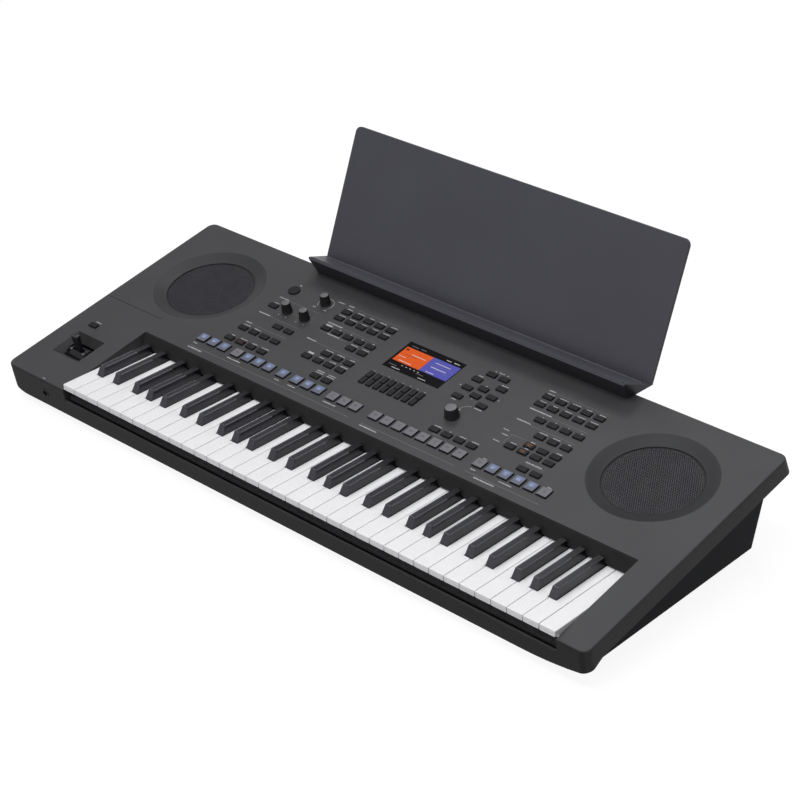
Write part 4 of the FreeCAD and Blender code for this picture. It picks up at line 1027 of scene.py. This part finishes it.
PHONES_X, PHONES_H = -430.0, -23.0
PHONES_RING = [(4.25, -2.6), (4.5, -2.6), (4.5, 0.05), (6.5, 0.05), (6.3, 0.5), (5.4, 0.75),
               (4.5, 0.6), (4.25, 0.3)]
FACE = Matrix.Rotation(math.radians(90), 4, "X")
PHONES = PANEL @ Matrix.Translation((PHONES_X, 0, PHONES_H)) @ FACE
phones = Build()
phones.hoop(PHONES_RING, 0, 0, 48)
phones.piece("phones_ring", "case", "socket_black", [button_black], PHONES, smooth=50)


# Dark sheet on the wall behind the keys: a painted shade, standing in for the shadow on that wall

WALL_TOP = (155.7, 0.0)
WALL_FOOT = (142.08, -16.26)
WALL_SHADE_FROM, WALL_SHADE_TO = 0.12, 0.98
WALL_SHADE_SUNK, WALL_SHADE_PROUD = -0.05, 0.2
WALL_SHADE_X, WALL_SHADE_HALF = 38.1, 424.0
lean_s = WALL_FOOT[0] - WALL_TOP[0]
lean_h = WALL_FOOT[1] - WALL_TOP[1]
span = math.hypot(lean_s, lean_h)
out_s, out_h = lean_h / span, -lean_s / span
corners = ((WALL_SHADE_FROM, WALL_SHADE_SUNK), (WALL_SHADE_FROM, WALL_SHADE_PROUD), (WALL_SHADE_TO, WALL_SHADE_PROUD),
           (WALL_SHADE_TO, WALL_SHADE_SUNK))
wall_shade = Build()
section = [(WALL_TOP[0] + lean_s * u + out_s * d, WALL_TOP[1] + lean_h * u + out_h * d)
           for u, d in corners]
wall_shade.beam(section, -WALL_SHADE_HALF, WALL_SHADE_HALF)
WALL = PANEL @ Matrix.Translation((WALL_SHADE_X, 0, 0))
wall_shade.piece("key_wall_shade", "case", "felt", [painted_well_shade], WALL)


# Joystick: lever with a saddle top, a rib and two bosses on the drum

JOY_X, JOY_S = -443.9, 80.2
LEVER_HALF_T = 3.2
LEVER_SIDE = ((3.4, -19.0), (5.0, -7.0), (5.2, 1.0), (5.8, 8.0), (6.9, 19.4), (5.6, 20.0),
              (3.0, 18.6))
LEVER_SADDLE = (0, 17.9)
DRUM_H = -19.0
RIB_OUT, RIB_IN = 17.0, 13.6
RIB_FROM, RIB_TO, RIB_STEP = 50, 130, 8
RIB_X = (-16.4, -14.6)
BOSSES = ((-12.8, -3.6), (12.8, -4.5))
BOSS = [(2.0, -7.0), (2.0, -5.2), (1.6, -4.9)]
outline = [(-x, h) for x, h in LEVER_SIDE] + [LEVER_SADDLE] + list(reversed(LEVER_SIDE))
lever = Build()
lever.slab(*([(JOY_X + x, JOY_S + side, h) for x, h in outline]
             for side in (-LEVER_HALF_T, LEVER_HALF_T)))
obj = lever.piece("joystick_lever", "joystick_stick", "stick_black", [stick_black], edge_mm=0.7)
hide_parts("joystick_stick")
turns = range(RIB_FROM, RIB_TO + 1, RIB_STEP)
rib = [(JOY_S + r * math.cos(math.radians(a)), r * math.sin(math.radians(a)) + DRUM_H)
       for r, way in ((RIB_OUT, turns), (RIB_IN, reversed(turns))) for a in way]
drum = Build()
drum.beam(rib, JOY_X + RIB_X[0], JOY_X + RIB_X[1])
for dx, ds in BOSSES:
    drum.lathe(BOSS, JOY_X + dx, JOY_S + ds, 20, 1)
drum.piece("joystick_drum_trim", "joystick_gimbal", "stick_black", [stick_black, boss_grey],
           edge_mm=0.25)


# Rear plate: nuts round the sockets, frames round the ports and plain marks above them

REAR_SIN, REAR_COS = 0.261237, 0.965275
REAR_Y, REAR_Z = 133.007, 58.978
REAR = Matrix(((-1, 0, 0, 0), (0, REAR_SIN, REAR_COS, REAR_Y), (0, REAR_COS, -REAR_SIN, REAR_Z),
               (0, 0, 0, 1)))
SOCKETS = (228.0, 202.0, 176.0)
DATA_PORT = 146.0
POWER_INLET = 120.0
NUT = [(4.8, -0.1), (7.4, -0.1), (7.4, 1.3), (6.9, 1.7), (5.2, 1.7), (4.8, 1.3)]
NECK = [(4.75, -0.1), (5.4, -0.1), (5.4, 2.2), (4.75, 2.2)]
INLET_RING = [(4.7, -0.1), (7.2, -0.1), (6.9, 0.9), (5.0, 0.9)]
PORT_FRAME = ((-8.6, 8.6, 4.7, 6.1), (-8.6, 8.6, -6.1, -4.7), (-8.6, -7.2, -4.7, 4.7),
              (7.2, 8.6, -4.7, 4.7))
REAR_MARKS = tuple(zip((*SOCKETS, DATA_PORT, POWER_INLET),
                       ((3.0, 5.0), (6.0,), (4.0, 4.0), (8.0,), (5.0, 2.0))))
MARK_LOW, MARK_HIGH, MARK_GAP = 13.0, 14.6, 1.0
nuts = Build()
for x in SOCKETS:
    nuts.hoop(NUT, x, 0, 6)
    nuts.hoop(NECK, x, 0, 40)
nuts.piece("rear_nuts", "case", "steel", [nickel], REAR, edge_mm=0.15)
ports = Build()
ports.hoop(INLET_RING, POWER_INLET, 0, 48)
for x0, x1, s0, s1 in PORT_FRAME:
    ports.box(DATA_PORT + x0, DATA_PORT + x1, s0, s1, -0.1, 0.8)
ports.piece("rear_port_frames", "case", "socket_black", [stick_black], REAR, edge_mm=0.2)
rear_print = Build()
for x, bars in REAR_MARKS:
    at = x - (sum(bars) + MARK_GAP * (len(bars) - 1)) / 2
    for width in bars:
        rear_print.box(at, at + width, MARK_LOW, MARK_HIGH, -0.05, 0.04)
        at += width + MARK_GAP
rear_print.piece("rear_print", "case", "socket_black", [print_white], REAR)


# Bead along the foot of the music rest's plate

LEAN = math.radians(20.3)
REST_Y, REST_Z = 170.718, 141.071
REST = Matrix(((1, 0, 0, 0), (0, -math.cos(LEAN), math.sin(LEAN), REST_Y),
               (0, math.sin(LEAN), math.cos(LEAN), REST_Z), (0, 0, 0, 1)))
BEAD = [(4.4, -0.1), (4.8, 0.5), (5.6, 0.85), (6.8, 0.85), (7.6, 0.5), (8.0, -0.1)]
BEAD_HALF = 276.0
bead = Build()
bead.beam(BEAD, -BEAD_HALF, BEAD_HALF)
bead.piece("rest_bead", "music_rest", "rest_grey", [rest_grey], REST, smooth=50)


# Camera at the photograph's viewing angle

CAMERA_MM = (1591.07, -1738.71, 1419.01)
AZIMUTH = math.radians(42.276)
ELEVATION = math.radians(29.541)
ROLL = math.radians(-0.187)
FOCAL_PX = 2067.745
IMAGE_PX = 800
SENSOR_MM = 36.0
CLIP_END = 200
camera_data = bpy.data.cameras.new("camera")
camera_data.sensor_width = SENSOR_MM
camera_data.lens = FOCAL_PX * SENSOR_MM / IMAGE_PX
camera_data.clip_end = CLIP_END
camera = bpy.data.objects.new("camera", camera_data)
bpy.context.scene.collection.objects.link(camera)
level = math.cos(ELEVATION)
back = Vector((math.sin(AZIMUTH) * level, -math.cos(AZIMUTH) * level, math.sin(ELEVATION)))
right = Vector((math.cos(AZIMUTH), math.sin(AZIMUTH), 0))
turn = Matrix((right, back.cross(right), back)).transposed() @ Matrix.Rotation(ROLL, 3, "Z")
camera.matrix_world = Matrix.Translation(Vector(CAMERA_MM) * MM) @ turn.to_4x4()
bpy.context.scene.camera = camera


# Floor with a wall round it, world and lamps, in m

FLOOR_REACH = 12.0
WALL_HEIGHT = 7.0
FLOOR_TONE = (0.22, 0.22, 0.23, 1)
SEEN_TONE = (0.14, 0.14, 0.14, 1)
SEEN_GLOW = 0.9
SKY_TONE = (0.97, 0.98, 1.0, 1)
SKY_POWER = 3.0
SKY_GAIN, SKY_BASE = 0.95, 0.03
LAMPS = (  # name, place, target, size, watts
    ("top_light", (0.0, -0.9, 2.5), (0, 0, 0.1), (1.6, 1.0), 28),
    ("front_light", (0.2, -2.4, 0.8), (0, -0.15, 0.05), (1.8, 0.8), 16),
    ("sheen_light", (-0.8, 1.15, 2.1), (0.4, -0.05, 0.1), (1.2, 0.8), 14),
    ("edge_light", (1.5, 1.75, 1.6), (0.1, 0, 0.1), (1.6, 1.0), 10),
)


def math_node(tree, operation, *inputs):
    """One math node over sockets and plain numbers."""
    node = tree.nodes.new("ShaderNodeMath")
    node.operation = operation
    for socket, value in zip(node.inputs, inputs):
        if isinstance(value, (int, float)):
            socket.default_value = value
        else:
            link(tree, value, socket)
    return node.outputs[0]


def floor_material():
    """White where it is seen, mirrored or looked through, with shadows; grey to the light."""
    mat = bpy.data.materials.new("pale_floor")
    mat.use_nodes = True
    tree = mat.node_tree
    tree.nodes.clear()
    out = tree.nodes.new("ShaderNodeOutputMaterial")
    plain = tree.nodes.new("ShaderNodeBsdfDiffuse")
    plain.inputs["Color"].default_value = FLOOR_TONE
    shaded = tree.nodes.new("ShaderNodeBsdfDiffuse")
    shaded.inputs["Color"].default_value = SEEN_TONE
    white = tree.nodes.new("ShaderNodeEmission")
    white.inputs["Strength"].default_value = SEEN_GLOW
    seen = tree.nodes.new("ShaderNodeAddShader")
    mix = tree.nodes.new("ShaderNodeMixShader")
    ray = tree.nodes.new("ShaderNodeLightPath").outputs
    direct = math_node(tree, "MAXIMUM", ray["Is Camera Ray"], ray["Is Glossy Ray"])
    direct = math_node(tree, "MAXIMUM", direct, ray["Is Transmission Ray"])
    link(tree, shaded.outputs[0], seen.inputs[0])
    link(tree, white.outputs[0], seen.inputs[1])
    link(tree, direct, mix.inputs["Fac"])
    link(tree, plain.outputs[0], mix.inputs[1])
    link(tree, seen.outputs[0], mix.inputs[2])
    link(tree, mix.outputs[0], out.inputs["Surface"])
    return mat


floor_mesh = bpy.data.meshes.new("floor")
r = FLOOR_REACH
rim = [(-r, -r), (r, -r), (r, r), (-r, r)]
floor_mesh.from_pydata([(x, y, z) for z in (0, WALL_HEIGHT) for x, y in rim], [],
                       [(0, 1, 2, 3), (0, 4, 5, 1), (1, 5, 6, 2), (2, 6, 7, 3), (3, 7, 4, 0)])
floor = bpy.data.objects.new("floor", floor_mesh)
bpy.context.scene.collection.objects.link(floor)
floor_mesh.materials.append(floor_material())

# The world is bright overhead and dim at the horizon
world = bpy.data.worlds.new("studio")
bpy.context.scene.world = world
world.use_nodes = True
tree = world.node_tree
sky = tree.nodes["Background"]
sky.inputs["Color"].default_value = SKY_TONE
coord = tree.nodes.new("ShaderNodeTexCoord")
split = tree.nodes.new("ShaderNodeSeparateXYZ")
height = tree.nodes.new("ShaderNodeMapRange")
link(tree, coord.outputs["Generated"], split.inputs[0])
link(tree, split.outputs["Z"], height.inputs["Value"])
rise = math_node(tree, "POWER", height.outputs["Result"], SKY_POWER)
strength = math_node(tree, "MULTIPLY_ADD", rise, SKY_GAIN, SKY_BASE)
link(tree, strength, sky.inputs["Strength"])


def area_lamp(name, place, target, size, watts):
    data = bpy.data.lights.new(name, "AREA")
    data.shape = "RECTANGLE"
    data.size, data.size_y = size
    data.energy = watts
    lamp = bpy.data.objects.new(name, data)
    bpy.context.scene.collection.objects.link(lamp)
    lamp.location = place
    aim = Vector(target) - Vector(place)
    lamp.rotation_euler = aim.to_track_quat("-Z", "Y").to_euler()


for lamp in LAMPS:
    area_lamp(*lamp)

scene = bpy.context.scene
scene.view_settings.view_transform = "Standard"
